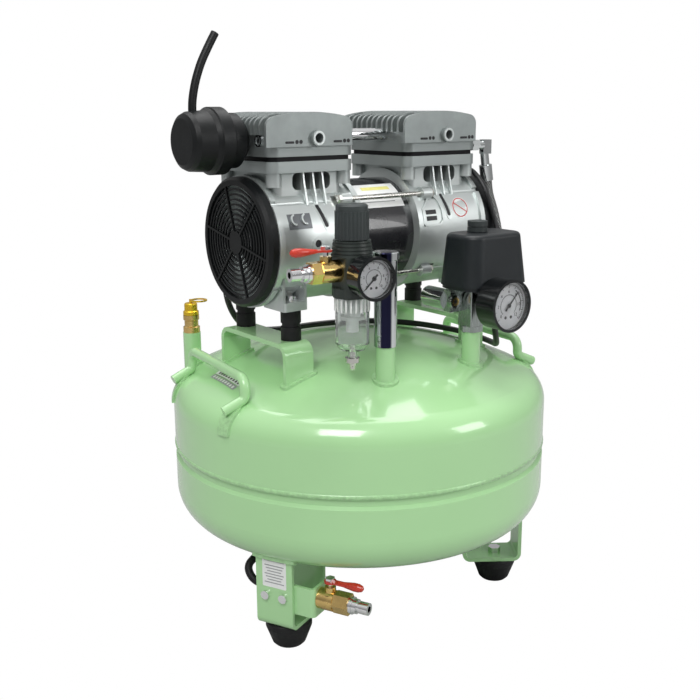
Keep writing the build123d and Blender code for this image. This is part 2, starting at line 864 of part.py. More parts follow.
# ---------------------------------------------------------------- cylinder heads
reed_t = 0.4
reed_gap = 0.02
port_r = 5
port_gap = 13
with BuildPart() as valve_plates:
    for head_x, _ in heads:
        plate_x = head_x - 2.2
        with BuildSketch(Plane.XY.offset(flange_top_z)):
            with Locations((plate_x, 0)):
                RectangleRounded(2 * plate_half_x - 5, 2 * plate_half_y - 5, 8)
        extrude(amount=plate_low_z - flange_top_z)
        with BuildSketch(Plane.XY.offset(plate_low_z)):
            with Locations((plate_x, 0)):
                RectangleRounded(2 * plate_half_x, 2 * plate_half_y, 10)
        extrude(amount=plate_top_z - plate_low_z)
        with BuildSketch(Plane.XY.offset(flange_top_z)):
            with Locations((head_x - port_gap, 0), (head_x + port_gap, 0)):
                Circle(port_r)
        extrude(amount=plate_top_z - flange_top_z, mode=Mode.SUBTRACT)
    with BuildSketch(Plane.XY.offset(flange_top_z)):
        with Locations(*head_places):
            Circle(2.9)
    extrude(amount=plate_top_z - flange_top_z, mode=Mode.SUBTRACT)
    # reed valves: the inlet reed under each plate and the outlet reed on top of it
    for head_x, _ in heads:
        for reed_x, reed_z in ((head_x - port_gap, flange_top_z - reed_gap - reed_t),
                               (head_x + port_gap, plate_top_z + reed_gap)):
            with BuildSketch(Plane.XY.offset(reed_z)):
                with Locations((reed_x, 4)):
                    SlotOverall(30, 13, rotation=90)
            extrude(amount=reed_t)
finish(valve_plates, "valve_plates")

fin_w = 3
fin_drop = 7
fin_corner = 8
side_face_h = 11
cover_low_z = plate_top_z
cover_half_x = 49
fin_rise = cover_top_z - cover_low_z
fin_rows = [side * row for side in (-1, 1) for row in (8, 17, 25, 33, 42.5)]
fin_rows += [0, 1.5 - cover_half_y, cover_half_y - 1.5]
port_z = plate_top_z + 7.6
transfer_z = 500
transfer_y = -10
transfer_r = 6.2
left_socket_x = left_head_x + cover_shift_x + cover_half_x - 8
right_socket_x = right_head_x + cover_shift_x - cover_half_x + 8
with BuildPart() as head_covers:
    for head_x, _ in heads:
        mid_x = head_x + cover_shift_x
        inner_x = head_x - 2.2
        # the box that holds the ports and chambers
        with BuildSketch(Plane.XY.offset(cover_low_z)):
            with Locations((inner_x - 2, 0)):
                RectangleRounded(2 * cover_half_x - 8, 2 * cover_half_y - 6, 8)
        extrude(amount=cover_top_z - fin_drop - cover_low_z)
        # upright fins in groups of three, the outermost one a broad plate
        for row in fin_rows:
            fin_foot = 0 if abs(row) > cover_half_y - fin_w else side_face_h
            with BuildSketch(Plane(origin=(mid_x, row + fin_w / 2, cover_low_z),
                                   x_dir=(1, 0, 0), z_dir=(0, -1, 0))):
                with BuildLine():
                    crown = ThreePointArc(
                        (fin_corner - cover_half_x, fin_rise), (0, fin_rise + cover_crown),
                        (cover_half_x - fin_corner, fin_rise),
                    )
                    right_round = TangentArc(
                        crown @ 1, (cover_half_x, fin_rise - fin_corner), tangent=crown % 1
                    )
                    left_round = TangentArc(
                        crown @ 0, (-cover_half_x, fin_rise - fin_corner), tangent=-(crown % 0)
                    )
                    Polyline(right_round @ 1, (cover_half_x, fin_foot),
                             (-cover_half_x, fin_foot), left_round @ 1)
                make_face()
            extrude(amount=fin_w)
        # port boss on the front
        with BuildSketch(Plane(origin=(head_x - 1.5, 12 - cover_half_y, port_z),
                               x_dir=(1, 0, 0), z_dir=(0, -1, 0))):
            Circle(7.5)
        extrude(amount=16)
        # hollow underneath, in two chambers
        with BuildSketch(Plane.XY.offset(cover_low_z)):
            with Locations((head_x - 17, 0), (head_x + 17, 0)):
                RectangleRounded(29, 62, 5)
        extrude(amount=13, mode=Mode.SUBTRACT)
        with BuildSketch(Plane(origin=(head_x - 1.5, -cover_half_y - 4, port_z),
                               x_dir=(1, 0, 0), z_dir=(0, -1, 0))):
            Circle(4.5)
        extrude(amount=-14, mode=Mode.SUBTRACT)
        # the screws stand in pockets
        with BuildSketch(Plane.XY.offset(cover_low_z)):
            with Locations(*screws_of(head_x)):
                Circle(5.6)
        extrude(amount=40, mode=Mode.SUBTRACT)
    # sockets for the pipe between the heads
    with BuildSketch(Plane(origin=(left_socket_x, transfer_y, transfer_z),
                           x_dir=(0, 1, 0), z_dir=(1, 0, 0))):
        Circle(transfer_r + 0.1)
    extrude(amount=right_socket_x - left_socket_x, mode=Mode.SUBTRACT)
finish(head_covers, "head_covers")

# ---------------------------------------------------------------- ties between the ends
tie_end = rim_inner_gap + tie_boss_at + 12
with BuildPart() as tie_rods:
    with BuildSketch(across_x(motor_mid_x - tie_end)):
        with Locations(*tie_places):
            Circle(tie_r)
    extrude(amount=2 * tie_end)
    for low_x in (motor_mid_x - tie_end - 4, motor_mid_x + tie_end):
        with BuildSketch(across_x(low_x)):
            with Locations(*tie_places):
                RegularPolygon(5, 6)
        extrude(amount=4)
finish(tie_rods, "tie_rods")

with BuildPart() as transfer_pipe:
    with BuildSketch(Plane(origin=(left_socket_x, transfer_y, transfer_z),
                           x_dir=(0, 1, 0), z_dir=(1, 0, 0))):
        Circle(transfer_r)
        Circle(transfer_r - 1.6, mode=Mode.SUBTRACT)
    extrude(amount=right_socket_x - left_socket_x)
finish(transfer_pipe, "transfer_pipe")

# ---------------------------------------------------------------- intake silencer
silencer_end_x = -206.8
silencer_in_x = -146.6
silencer_axis = Axis((0, silencer_y, silencer_z), (1, 0, 0))
silencer_plane = Plane(origin=(0, silencer_y, silencer_z), x_dir=(1, 0, 0),
                       z_dir=(0, -1, 0))
body_r = 25.5
cap_r = 28
lip_r = 31
with BuildPart() as silencer_housing:
    with BuildSketch(silencer_plane):
        with BuildLine():
            Polyline(
                (-180, lip_r - 1), (-179, lip_r), (-167, lip_r), (-165, body_r + 1),
                (-163, body_r), (silencer_in_x - 6, body_r), (silencer_in_x, body_r - 6),
                (silencer_in_x, 5), (silencer_in_x - 3, 5),
                (silencer_in_x - 3, body_r - 7), (-150, body_r - 3), (-165, body_r - 3),
                (-168, 24), (-180, 24), close=True,
            )
        make_face()
    revolve(axis=silencer_axis)
finish(silencer_housing, "silencer_housing")

snorkel_r = 3.8
with BuildPart() as silencer_cap:
    with BuildSketch(silencer_plane):
        with BuildLine():
            Polyline(
                (-180.2, lip_r - 1), (-184, cap_r), (-200, cap_r - 1), (-204, cap_r - 3),
                (silencer_end_x, cap_r - 7), (silencer_end_x, 0), (-203.8, 0),
                (-203.8, cap_r - 8), (-198, cap_r - 4), (-180.2, cap_r - 4), close=True,
            )
        make_face()
    revolve(axis=silencer_axis)
    with BuildSketch(Plane.XY.offset(silencer_z + 15)):
        with Locations((-194.3, silencer_y)):
            Circle(6)
    extrude(amount=9)
    with BuildSketch(Plane.XY.offset(silencer_z + 14)):
        with Locations((-194.3, silencer_y)):
            Circle(snorkel_r)
    extrude(amount=20, mode=Mode.SUBTRACT)
finish(silencer_cap, "silencer_cap")

with BuildPart() as silencer_element:
    with BuildSketch(Plane(origin=(-178, silencer_y, silencer_z), x_dir=(0, 1, 0),
                           z_dir=(1, 0, 0))):
        Circle(22)
        Circle(8, mode=Mode.SUBTRACT)
    extrude(amount=24)
finish(silencer_element, "silencer_element")

snorkel_points = [
    (-194.3, silencer_y, silencer_z + 18),
    (-194.3, silencer_y, 532),
    (-190.5, silencer_y, 549),
    (-184.0, silencer_y, 566),
    (-175.5, silencer_y, 581),
    (-168.0, silencer_y, 593),
]
intake_snorkel = tube("intake_snorkel", snorkel_points, 2 * snorkel_r)
finish(intake_snorkel, "intake_snorkel")

# ---------------------------------------------------------------- regulator column
column_dir = (cos(radians(column_turn)), sin(radians(column_turn)), 0)
gauge_dir = (-sin(radians(column_turn)), cos(radians(column_turn)), 0)


def column(height=0, along=0):
    """A level plane of the outlet column: x towards the outlet, y towards the front."""
    return Plane(
        origin=(riser_x + along * column_dir[0], riser_y + along * column_dir[1], height),
        x_dir=column_dir,
        z_dir=(0, 0, 1),
    )


def column_pipe(along, height=pipe_z, out=0):
    """A plane across the column's pipe: its z axis points towards the outlet."""
    origin = tuple(
        corner + along * step + out * side
        for corner, step, side in zip((riser_x, riser_y, height), column_dir, gauge_dir)
    )
    return Plane(origin=origin, x_dir=gauge_dir, z_dir=column_dir)


neck_at = 14

# ---------------------------------------------------------------- discharge line
hose_d = 11
hose_points = [
    (149, -39, 448),
    (151.5, -39, 433),
    (158, -41, 415),
    (161, -45, 394),
    (156, -54, 373),
    (142, -67, 356),
    (121, -79, 344),
    (97, -85, 338),
    (76, -86, 337),
    (57, -86, 337),
]
discharge_hose = tube("discharge_hose", hose_points, hose_d)
finish(discharge_hose, "discharge_hose")

plate_edge_x = right_head_x - 2.2 + plate_half_x
elbow_z = 486.5
ferrule_plane = Plane(
    origin=hose_points[0],
    z_dir=Vector(*hose_points[0]) - Vector(*hose_points[1]),
)
check_y = -86
check_x = 36
check_z = 337
riser_r = 11
with BuildPart() as pipe_fittings:
    # riser of the outlet column, with a flat-topped collar
    with BuildSketch(Plane(origin=(riser_x, riser_y, 0), x_dir=(1, 0, 0),
                           z_dir=(0, -1, 0))):
        with BuildLine():
            Polyline(
                (0, post_top_z - 13), (thread_r - 0.3, post_top_z - 13),
                (thread_r - 0.3, post_top_z), (riser_r, post_top_z + 0.5),
                (riser_r, 388), (riser_r + 1.5, 389), (riser_r + 1.5, 395),
                (riser_r + 0.5, 396), (0, 396), close=True,
            )
        make_face()
    revolve(axis=Axis((riser_x, riser_y, 0), (0, 0, 1)))
    with BuildSketch(column_pipe(0)):
        Circle(8)
    extrude(amount=neck_at)
    # elbow on the right-hand head, with the hose's ferrule
    with BuildSketch(Plane(origin=(plate_edge_x, -39, elbow_z), x_dir=(0, 1, 0),
                           z_dir=(1, 0, 0))):
        RegularPolygon(6.4, 6)
    extrude(amount=10)
    with BuildSketch(Plane(origin=(plate_edge_x, -39, elbow_z), x_dir=(0, 1, 0),
                           z_dir=(1, 0, 0))):
        Circle(4.5)
    extrude(amount=147 - plate_edge_x)
    with BuildSketch(ferrule_plane):
        Circle(7)
    extrude(amount=17)
    with BuildSketch(ferrule_plane.offset(12)):
        Circle(4.6)
    extrude(amount=20)
    with BuildSketch(Plane(origin=(145.5, -39, 477))):
        Circle(6.6)
    extrude(amount=15)
    # check valve behind the manifold, with the hose's other ferrule
    with BuildSketch(Plane(origin=(check_x, -72, check_z), x_dir=(1, 0, 0),
                           z_dir=(0, -1, 0))):
        Circle(10.5)
    extrude(amount=30)
    with BuildSketch(Plane(origin=(check_x, check_y, check_z), x_dir=(0, 1, 0),
                           z_dir=(1, 0, 0))):
        RegularPolygon(8, 6)
    extrude(amount=21)
finish(pipe_fittings, "pipe_fittings")

# ---------------------------------------------------------------- manifold and switch
manifold_low_z = 311
manifold_top_z = 350
with BuildPart() as manifold:
    with BuildSketch(Plane.XY.offset(manifold_low_z)):
        with Locations((switch_x, switch_y)):
            RectangleRounded(20, 20, 2)
    extrude(amount=manifold_top_z - manifold_low_z)
    with BuildSketch(Plane.XY.offset(post_top_z)):
        with Locations((switch_x, switch_y)):
            RegularPolygon(12, 6)
    extrude(amount=manifold_low_z - post_top_z)
    with BuildSketch(Plane.XY.offset(post_top_z - 12)):
        with Locations((switch_x, switch_y)):
            Circle(thread_r - 0.3)
    extrude(amount=12)
    # arm to the check valve, with its round plug on the front
    with BuildSketch(Plane.XY.offset(check_z - 11)):
        with Locations((check_x + 4, -107)):
            Rectangle(20, 10)
    extrude(amount=22)
    with BuildSketch(Plane(origin=(check_x, -110, check_z), x_dir=(1, 0, 0),
                           z_dir=(0, -1, 0))):
        Circle(8.5)
    extrude(amount=4)
finish(manifold, "manifold")

base_z = manifold_top_z + 0.5
base_t = 3.5
gland_x = 78
gland_y = -104
junction_x = 100
junction_w = 14
gland_h = 14
with BuildPart() as switch_base:
    with BuildSketch(Plane.XY.offset(base_z)):
        with Locations((cover_x, cover_y)):
            RectangleRounded(80, 52, 15)
    extrude(amount=base_t)
    # contact block inside the cover
    with BuildSketch(Plane.XY.offset(base_z + base_t)):
        with Locations((cover_x + 4, cover_y - 2)):
            Rectangle(48, 30)
    extrude(amount=26)
    with BuildSketch(Plane.XY.offset(manifold_top_z)):
        with Locations((switch_x, switch_y)):
            Circle(9)
    extrude(amount=0.5)
    # power cord's gland and the junction block for the motor's leads, under the rear edge
    with BuildSketch(Plane.XY.offset(base_z - gland_h)):
        with Locations((gland_x, gland_y)):
            RegularPolygon(6.6, 6)
        with Locations((junction_x, gland_y)):
            RectangleRounded(junction_w, junction_w, 2)
    extrude(amount=gland_h)
finish(switch_base, "switch_base")

cover_base_z = base_z + base_t
cover_lid_z = 405
knob_x = 63
knob_y = -114
knob_hole_r = 4
with BuildPart() as switch_cover:
    with BuildSketch(Plane.XY.offset(cover_base_z)):
        with Locations((cover_x, cover_y)):
            RectangleRounded(84, 55, 17)
    with BuildSketch(Plane.XY.offset(cover_lid_z)):
        with Locations((cover_x - 1, cover_y)):
            RectangleRounded(73, 48, 16)
    loft()
    fillet(switch_cover.faces().sort_by(Axis.Z)[-1].edges(), 4.5)
    with BuildSketch(Plane.XY.offset(cover_base_z)):
        with Locations((cover_x, cover_y)):
            RectangleRounded(79, 50, 14.5)
    with BuildSketch(Plane.XY.offset(cover_lid_z - 3)):
        with Locations((cover_x - 1, cover_y)):
            RectangleRounded(67, 42, 13)
    loft(mode=Mode.SUBTRACT)
    with BuildSketch(Plane.XY.offset(cover_lid_z)):
        with Locations((knob_x, knob_y)):
            Circle(knob_hole_r)
    extrude(amount=-4, mode=Mode.SUBTRACT)
finish(switch_cover, "switch_cover")

with BuildPart() as switch_knob:
    with BuildSketch(Plane.XY.offset(cover_lid_z + 0.5)):
        with Locations((knob_x, knob_y)):
            Circle(10)
    extrude(amount=4.5)
    with BuildSketch(Plane.XY.offset(cover_lid_z + 5)):
        with Locations((knob_x, knob_y)):
            Circle(8.8)
    extrude(amount=1)
    with BuildSketch(Plane.XY.offset(cover_lid_z + 6)):
        with Locations((knob_x, knob_y)):
            Circle(10)
    extrude(amount=5)
    with BuildSketch(Plane.XY.offset(cover_lid_z - 15)):
        with Locations((knob_x, knob_y)):
            Circle(knob_hole_r - 0.4)
    extrude(amount=16)
finish(switch_knob, "switch_knob")

# the right-hand end's lead comes out under the flange and enters the junction's side
gland_z = base_z - gland_h
lead_z = base_z - gland_h / 2
lead_points = [
    (113, -24, 464.3),
    (121, -26, 463.8),
    (127.5, -37, 460),
    (129.5, -49, 450),
    (130.5, -58.5, 436),
    (134, -63, 419),
    (136.5, -68, 402),
    (135, -77, 384),
    (130, -89, 366),
    (126, -99, 350),
    (119, gland_y, lead_z),
    (junction_x + junction_w / 2, gland_y, lead_z),
]
switch_cable = tube("switch_cable", lead_points, 5.5)
finish(switch_cable, "switch_cable")

# the left-hand end's lead crosses the tank top behind and under the motor
motor_lead_d = 6.5
motor_lead_points = [
    (-117, 57, 370),
    (-118, 68, 368),
    (-120, 75, 353),
    (-118, 77, 331),
    (-109, 78, 310),
    (-94, 80, 294),
    (-72, 80, 288.6),
    (-46, 72, 288.4),
    (-14, 58, 291.6),
    (20, 42, 293.0),
    (54, 28, 291.2),
    (86, 14, 287.0),
    (112, 2, 281.6),
    (134, -14, 276.4),
    (144, -38, 271.6),
    (140, -62, 270.8),
    (127, -83, 273.4),
    (111, -98, 284),
    (101.5, -103.5, 303),
    (junction_x, gland_y, 320),
    (junction_x, gland_y, gland_z),
]
motor_lead = tube("motor_lead", motor_lead_points, motor_lead_d)
finish(motor_lead, "motor_lead")

# ---------------------------------------------------------------- regulator
regulator_half_l = 14.5
regulator_half_w = 17
regulator_low_z = 357
ring_low_z = 395
ring_top_z = 409.5
with BuildPart() as regulator_body:
    with BuildSketch(column(regulator_low_z, regulator_at)):
        RectangleRounded(2 * regulator_half_l, 2 * regulator_half_w, 6)
    extrude(amount=ring_low_z - regulator_low_z)
    with BuildSketch(column(regulator_low_z, regulator_at)):
        Circle(18)
    extrude(amount=9)
    # inlet neck from the riser, and the gauge's boss
    with BuildSketch(column_pipe(neck_at)):
        Circle(7.5)
    extrude(amount=regulator_at - neck_at)
    # ribbed ring that carries the spring housing
    with BuildSketch(column(ring_low_z, regulator_at)):
        Circle(19.5)
    extrude(amount=ring_top_z - ring_low_z, taper=8)
    for step in range(4):
        with BuildSketch(column(ring_low_z + 2.2 + step * 3.3, regulator_at)):
            Circle(21)
            Circle(18.2 - step * 0.45, mode=Mode.SUBTRACT)
        extrude(amount=1.2, mode=Mode.SUBTRACT)
    # threaded core for the knob, and the bowl's socket underneath
    with BuildSketch(column(ring_top_z, regulator_at)):
        Circle(9)
    extrude(amount=16)
finish(regulator_body, "regulator_body")

knob_low_z = 410.3
knob_step_z = 436
knob_top_z = 442
with BuildPart() as regulator_knob:
    with BuildSketch(column(knob_low_z, regulator_at)):
        Circle(15.8)
        with PolarLocations(16.1, 28):
            Circle(0.9, mode=Mode.SUBTRACT)
    extrude(amount=knob_step_z - knob_low_z)
    with BuildSketch(column(knob_step_z, regulator_at)):
        Circle(14.8)
    extrude(amount=knob_top_z - knob_step_z)
    chamfer(regulator_knob.faces().sort_by(Axis.Z)[-1].edges(), 1.5)
    with BuildSketch(column(knob_low_z, regulator_at)):
        Circle(9.5)
    extrude(amount=20, mode=Mode.SUBTRACT)
finish(regulator_knob, "regulator_knob")

bowl_low_z = 305
bowl_r = 16
bowl_wall = 2
bowl_axis = Axis(
    (riser_x + regulator_at * column_dir[0], riser_y + regulator_at * column_dir[1], 0),
    (0, 0, 1),
)
bowl_section = Plane(origin=bowl_axis.position, x_dir=(1, 0, 0), z_dir=(0, -1, 0))
with BuildPart() as regulator_bowl:
    with BuildSketch(bowl_section):
        with BuildLine():
            Polyline(
                (bowl_r, regulator_low_z), (bowl_r, bowl_low_z + 8),
                (bowl_r - 4, bowl_low_z + 2), (5, bowl_low_z), (5, bowl_low_z - 6),
                (3.05, bowl_low_z - 6), (3.05, bowl_low_z + bowl_wall),
                (bowl_r - 5, bowl_low_z + 2 + bowl_wall),
                (bowl_r - bowl_wall, bowl_low_z + 9),
                (bowl_r - bowl_wall, regulator_low_z),
                close=True,
            )
        make_face()
    revolve(axis=bowl_axis)
finish(regulator_bowl, "regulator_bowl")

with BuildPart() as bowl_filter:
    with BuildSketch(bowl_section):
        with BuildLine():
            Polyline(
                (0, regulator_low_z), (8.5, regulator_low_z), (8.5, 339), (11.5, 339),
                (11.5, 336), (6, 336), (6, 324), (0, 324), close=True,
            )
        make_face()
    revolve(axis=bowl_axis)
finish(bowl_filter, "bowl_filter")

with BuildPart() as bowl_drain:
    with BuildSketch(bowl_section):
        with BuildLine():
            Polyline(
                (0, bowl_low_z + 6), (3, bowl_low_z + 6), (3, bowl_low_z - 6.2),
                (7, bowl_low_z - 6.2), (7, bowl_low_z - 10.5), (4.2, bowl_low_z - 11.5),
                (3.2, 288), (2.2, 286.5), (0, 286.5), close=True,
            )
        make_face()
    revolve(axis=bowl_axis)
finish(bowl_drain, "bowl_drain")


# ---------------------------------------------------------------- ball valves
stem_rise = 18.5
valve_bore_r = 4.5
ball_r = 7.5


def drain_floor(height, side):
    """A level plane over the drain pipe: x along the pipe, away from the leg."""
    turn = radians(drain_angle)
    return Plane(
        origin=(
            drain_pipe_r * cos(turn) - side * sin(turn),
            drain_pipe_r * sin(turn) + side * cos(turn),
            height,
        ),
        x_dir=(-sin(turn), cos(turn), 0),
        z_dir=(0, 0, 1),
    )


def across(floor):
    """The upright plane across a level plane's x direction."""
    return Plane(origin=floor.origin, x_dir=floor.y_dir, z_dir=floor.x_dir)


outlet_floor = column(pipe_z, outlet_stem_at)
drain_stem_side = 54
drain_stem_floor = drain_floor(drain_pipe_z, drain_stem_side)
# pipe plane over the stem, tail length, body start, hex start and end, tail radius
valve_sizes = (
    (outlet_floor, 13, 13, 7, 17, 6.8),
    (drain_stem_floor, 28, 11, 6, 22, 6),
)
body_r = 10.5
with BuildPart() as valve_bodies:
    for floor, tail, back, hex_start, hex_end, tail_r in valve_sizes:
        pipe = across(floor)
        with BuildSketch(pipe.offset(-back)):
            Circle(body_r)
        extrude(amount=back + hex_start)
        with BuildSketch(pipe.offset(-tail)):
            Circle(tail_r)
        extrude(amount=tail)
        with BuildSketch(pipe.offset(hex_start)):
            RegularPolygon(11, 6)
        extrude(amount=hex_end - hex_start)
        with BuildSketch(floor):
            Circle(5.5)
        extrude(amount=stem_rise - 4)
        with BuildSketch(floor):
            Circle(ball_r + 0.3)
        extrude(amount=ball_r, both=True, mode=Mode.SUBTRACT)
        with BuildSketch(floor):
            Circle(2.55)
        extrude(amount=stem_rise, mode=Mode.SUBTRACT)
        with BuildSketch(pipe.offset(-tail)):
            Circle(valve_bore_r)
        extrude(amount=tail + hex_end, mode=Mode.SUBTRACT)
finish(valve_bodies, "valve_bodies")

nipple_l = 20
nipple_seat_r = 6
with BuildPart() as quick_nipples:
    for floor, _, _, _, hex_end, _ in valve_sizes:
        pipe = across(floor)
        steps = ((0, 3.5, 8.5), (3.5, 8, 7.2), (8, 10.5, 4.9), (10.5, nipple_l, nipple_seat_r))
        for start, end, radius in steps:
            with BuildSketch(pipe.offset(hex_end + start)):
                Circle(radius)
                Circle(3, mode=Mode.SUBTRACT)
            extrude(amount=end - start)
finish(quick_nipples, "quick_nipples")

lever_t = 2
lever_l = 36


def valve_ball(name, floor):
    """The ball with its stem and the nut that holds the lever."""
    pipe = across(floor)
    with BuildPart() as piece:
        with BuildSketch(floor.offset(-ball_r + 0.3)):
            Circle(ball_r)
        extrude(amount=2 * ball_r - 0.6)
        with BuildSketch(floor.offset(ball_r - 1)):
            Circle(2.5)
        extrude(amount=stem_rise + 3.5 - ball_r)
        with BuildSketch(floor.offset(stem_rise + lever_t)):
            RegularPolygon(5, 6)
        extrude(amount=3)
        with BuildSketch(pipe.offset(-ball_r - 1)):
            Circle(valve_bore_r)
        extrude(amount=2 * ball_r + 2, mode=Mode.SUBTRACT)
    return finish(piece, name)


def valve_lever(name, floor):
    """A flat lever on the stem with a rounded grip over its end, along the pipe."""
    seat = floor.offset(stem_rise)
    side = Plane(origin=seat.origin, x_dir=seat.x_dir, z_dir=-seat.y_dir)
    with BuildPart() as piece:
        with BuildSketch(seat):
            Circle(6)
            with Locations((9, 0)):
                Rectangle(18, 7)
            Circle(2.55, mode=Mode.SUBTRACT)
        extrude(amount=lever_t)
        with BuildSketch(side):
            with BuildLine():
                Polyline(
                    (9, 1), (9, 2.8), (13, 3.4), (26, 5.2), (31, 5.1), (34.5, 4),
                    (lever_l, 2), (lever_l, 1), close=True,
                )
            make_face()
        revolve(axis=Axis(tuple(seat.origin + Vector(0, 0, 1)), tuple(seat.x_dir)))
    return finish(piece, name)


valve_ball("outlet_valve_ball", outlet_floor)
valve_ball("drain_valve_ball", drain_stem_floor)
valve_lever("outlet_valve_lever", outlet_floor)
valve_lever("drain_valve_lever", drain_stem_floor)


# ---------------------------------------------------------------- gauges
def gauge_plane(centre, facing):
    """A plane on a gauge's face: its z axis towards the reader, its y axis up."""
    right = (-facing[1], facing[0], 0)
    return Plane(origin=centre, x_dir=right, z_dir=facing)


outlet_gauge_r = 20
tank_gauge_r = 26
outlet_gauge_front = 43.5
tank_gauge_y = -173
tank_gauge_z = 338.5
outlet_gauge_centre = tuple(
    start + regulator_at * step + outlet_gauge_front * side
    for start, step, side in zip(
        (riser_x, riser_y, pipe_z - 3), column_dir, gauge_dir)
)
outlet_gauge = gauge_plane(outlet_gauge_centre, gauge_dir)
tank_gauge = gauge_plane((switch_x, tank_gauge_y, tank_gauge_z), (0, -1, 0))
# plane, bezel radius, case depth, length of the stem behind the case
gauges = (
    (outlet_gauge, outlet_gauge_r, 21, 5.5),
    (tank_gauge, tank_gauge_r, 25, 21),
)
bezel_w = 2.8
dial_depth = 6
dial_t = 0.8
pivot_r = 0.8
with BuildPart() as gauge_cases:
    for face, radius, depth, stem in gauges:
        with BuildSketch(face.offset(-depth)):
            Circle(radius - 1)
        extrude(amount=depth - 4)
        with BuildSketch(face.offset(-4)):
            Circle(radius)
        extrude(amount=4)
        with BuildSketch(face.offset(-dial_depth - dial_t)):
            Circle(radius - bezel_w)
        extrude(amount=dial_depth + dial_t, mode=Mode.SUBTRACT)
        with BuildSketch(face.offset(-depth - stem)):
            Circle(5)
        extrude(amount=stem)
        with BuildSketch(face.offset(-dial_depth - dial_t)):
            Circle(pivot_r)
        extrude(amount=3.4)
finish(gauge_cases, "gauge_cases")

with BuildPart() as gauge_dials:
    for face, radius, _, _ in gauges:
        with BuildSketch(face.offset(-dial_depth - dial_t)):
            Circle(radius - bezel_w)
            Circle(pivot_r, mode=Mode.SUBTRACT)
        extrude(amount=dial_t)
finish(gauge_dials, "gauge_dials")

with BuildPart() as gauge_lenses:
    for face, radius, _, _ in gauges:
        with BuildSketch(face.offset(-2.4)):
            Circle(radius - bezel_w)
        extrude(amount=1.6)
finish(gauge_lenses, "gauge_lenses")


def needle(name, face, radius, rest_angle):
    """A gauge needle on its pivot; rest_angle is measured as on a clock face in degrees."""
    reach = radius - bezel_w
    with BuildPart() as piece:
        with BuildSketch(face.offset(-dial_depth + 0.8)):
            with Locations(Location((0, 0, 0), (0, 0, -rest_angle))):
                with Locations((0, 0.24 * reach)):
                    Trapezoid(1.8, 1.05 * reach, 88.6)
            Circle(2.2)
            Circle(pivot_r + 0.1, mode=Mode.SUBTRACT)
        extrude(amount=0.6)
    return finish(piece, name)


needle("outlet_gauge_needle", outlet_gauge, outlet_gauge_r, -135)
needle("tank_gauge_needle", tank_gauge, tank_gauge_r, 45)

# ---------------------------------------------------------------- safety valve
safety_axis = Axis((safety_x, safety_y, 0), (0, 0, 1))
safety_section = Plane(origin=(safety_x, safety_y, 0), x_dir=(1, 0, 0), z_dir=(0, -1, 0))
spindle_r = 1.6
with BuildPart() as safety_valve_body:
    with BuildSketch(safety_section):
        with BuildLine():
            Polyline(
                (0, safety_port_z - 12), (thread_r - 0.3, safety_port_z - 12),
                (thread_r - 0.3, safety_port_z), (9, safety_port_z), (9, 296), (7.5, 297),
                (7.5, 303), (8.6, 304), (8.6, 309), (4, 309), (4, 300), (0, 300),
                close=True,
            )
        make_face()
    revolve(axis=safety_axis)
finish(safety_valve_body, "safety_valve_body")

with BuildPart() as safety_valve_cap:
    with BuildSketch(safety_section):
        with BuildLine():
            Polyline(
                (0, 300.4), (3.8, 300.4), (3.8, 309.3), (8.4, 309.3), (8.4, 313),
                (7, 314), (7, 321), (6, 322), (spindle_r, 322), (spindle_r, 326),
                (0, 326), close=True,
            )
        make_face()
    revolve(axis=safety_axis)
    with BuildSketch(Plane(origin=(safety_x, safety_y, 324), x_dir=(0.8, -0.6, 0),
                           z_dir=(0, 0, 1))):
        with Locations((9, 0)):
            Circle(9)
            Circle(7.2, mode=Mode.SUBTRACT)
    extrude(amount=1.6)
finish(safety_valve_cap, "safety_valve_cap")


# ---------------------------------------------------------------- drain hose
def drain_point(outward, side, height):
    """A point given in the drain leg's own directions."""
    turn = radians(drain_angle)
    return (
        outward * cos(turn) - side * sin(turn),
        outward * sin(turn) + side * cos(turn),
        height,
    )


drain_points = [
    drain_point(165, 26, 63),
    drain_point(165, 4, 62),
    drain_point(165, -19, 60.5),
    drain_point(164, -37, 64),
    drain_point(161, -45, 75),
    drain_point(149, -40, 84),
    drain_point(128, -32, 80.5),
    drain_point(98, -29, 75),
    drain_point(70, -16, 62),
    drain_point(48, -10.8, 55),
    drain_point(24, -5.4, 55),
]
drain_hose = tube("drain_hose", drain_points, 8)
finish(drain_hose, "drain_hose")

# ---------------------------------------------------------------- weld beads
bead_r = 2.5
with BuildPart() as bead_skin:
    with BuildSketch(Plane.XZ):
        with BuildLine():
            top_rim, top_apex = dish_line(-bead_r, True)
            low_rim, low_apex = dish_line(-bead_r, False)
            Line(top_rim, low_rim)
            Line(top_apex, low_apex)
        make_face()
    revolve(axis=Axis.Z)

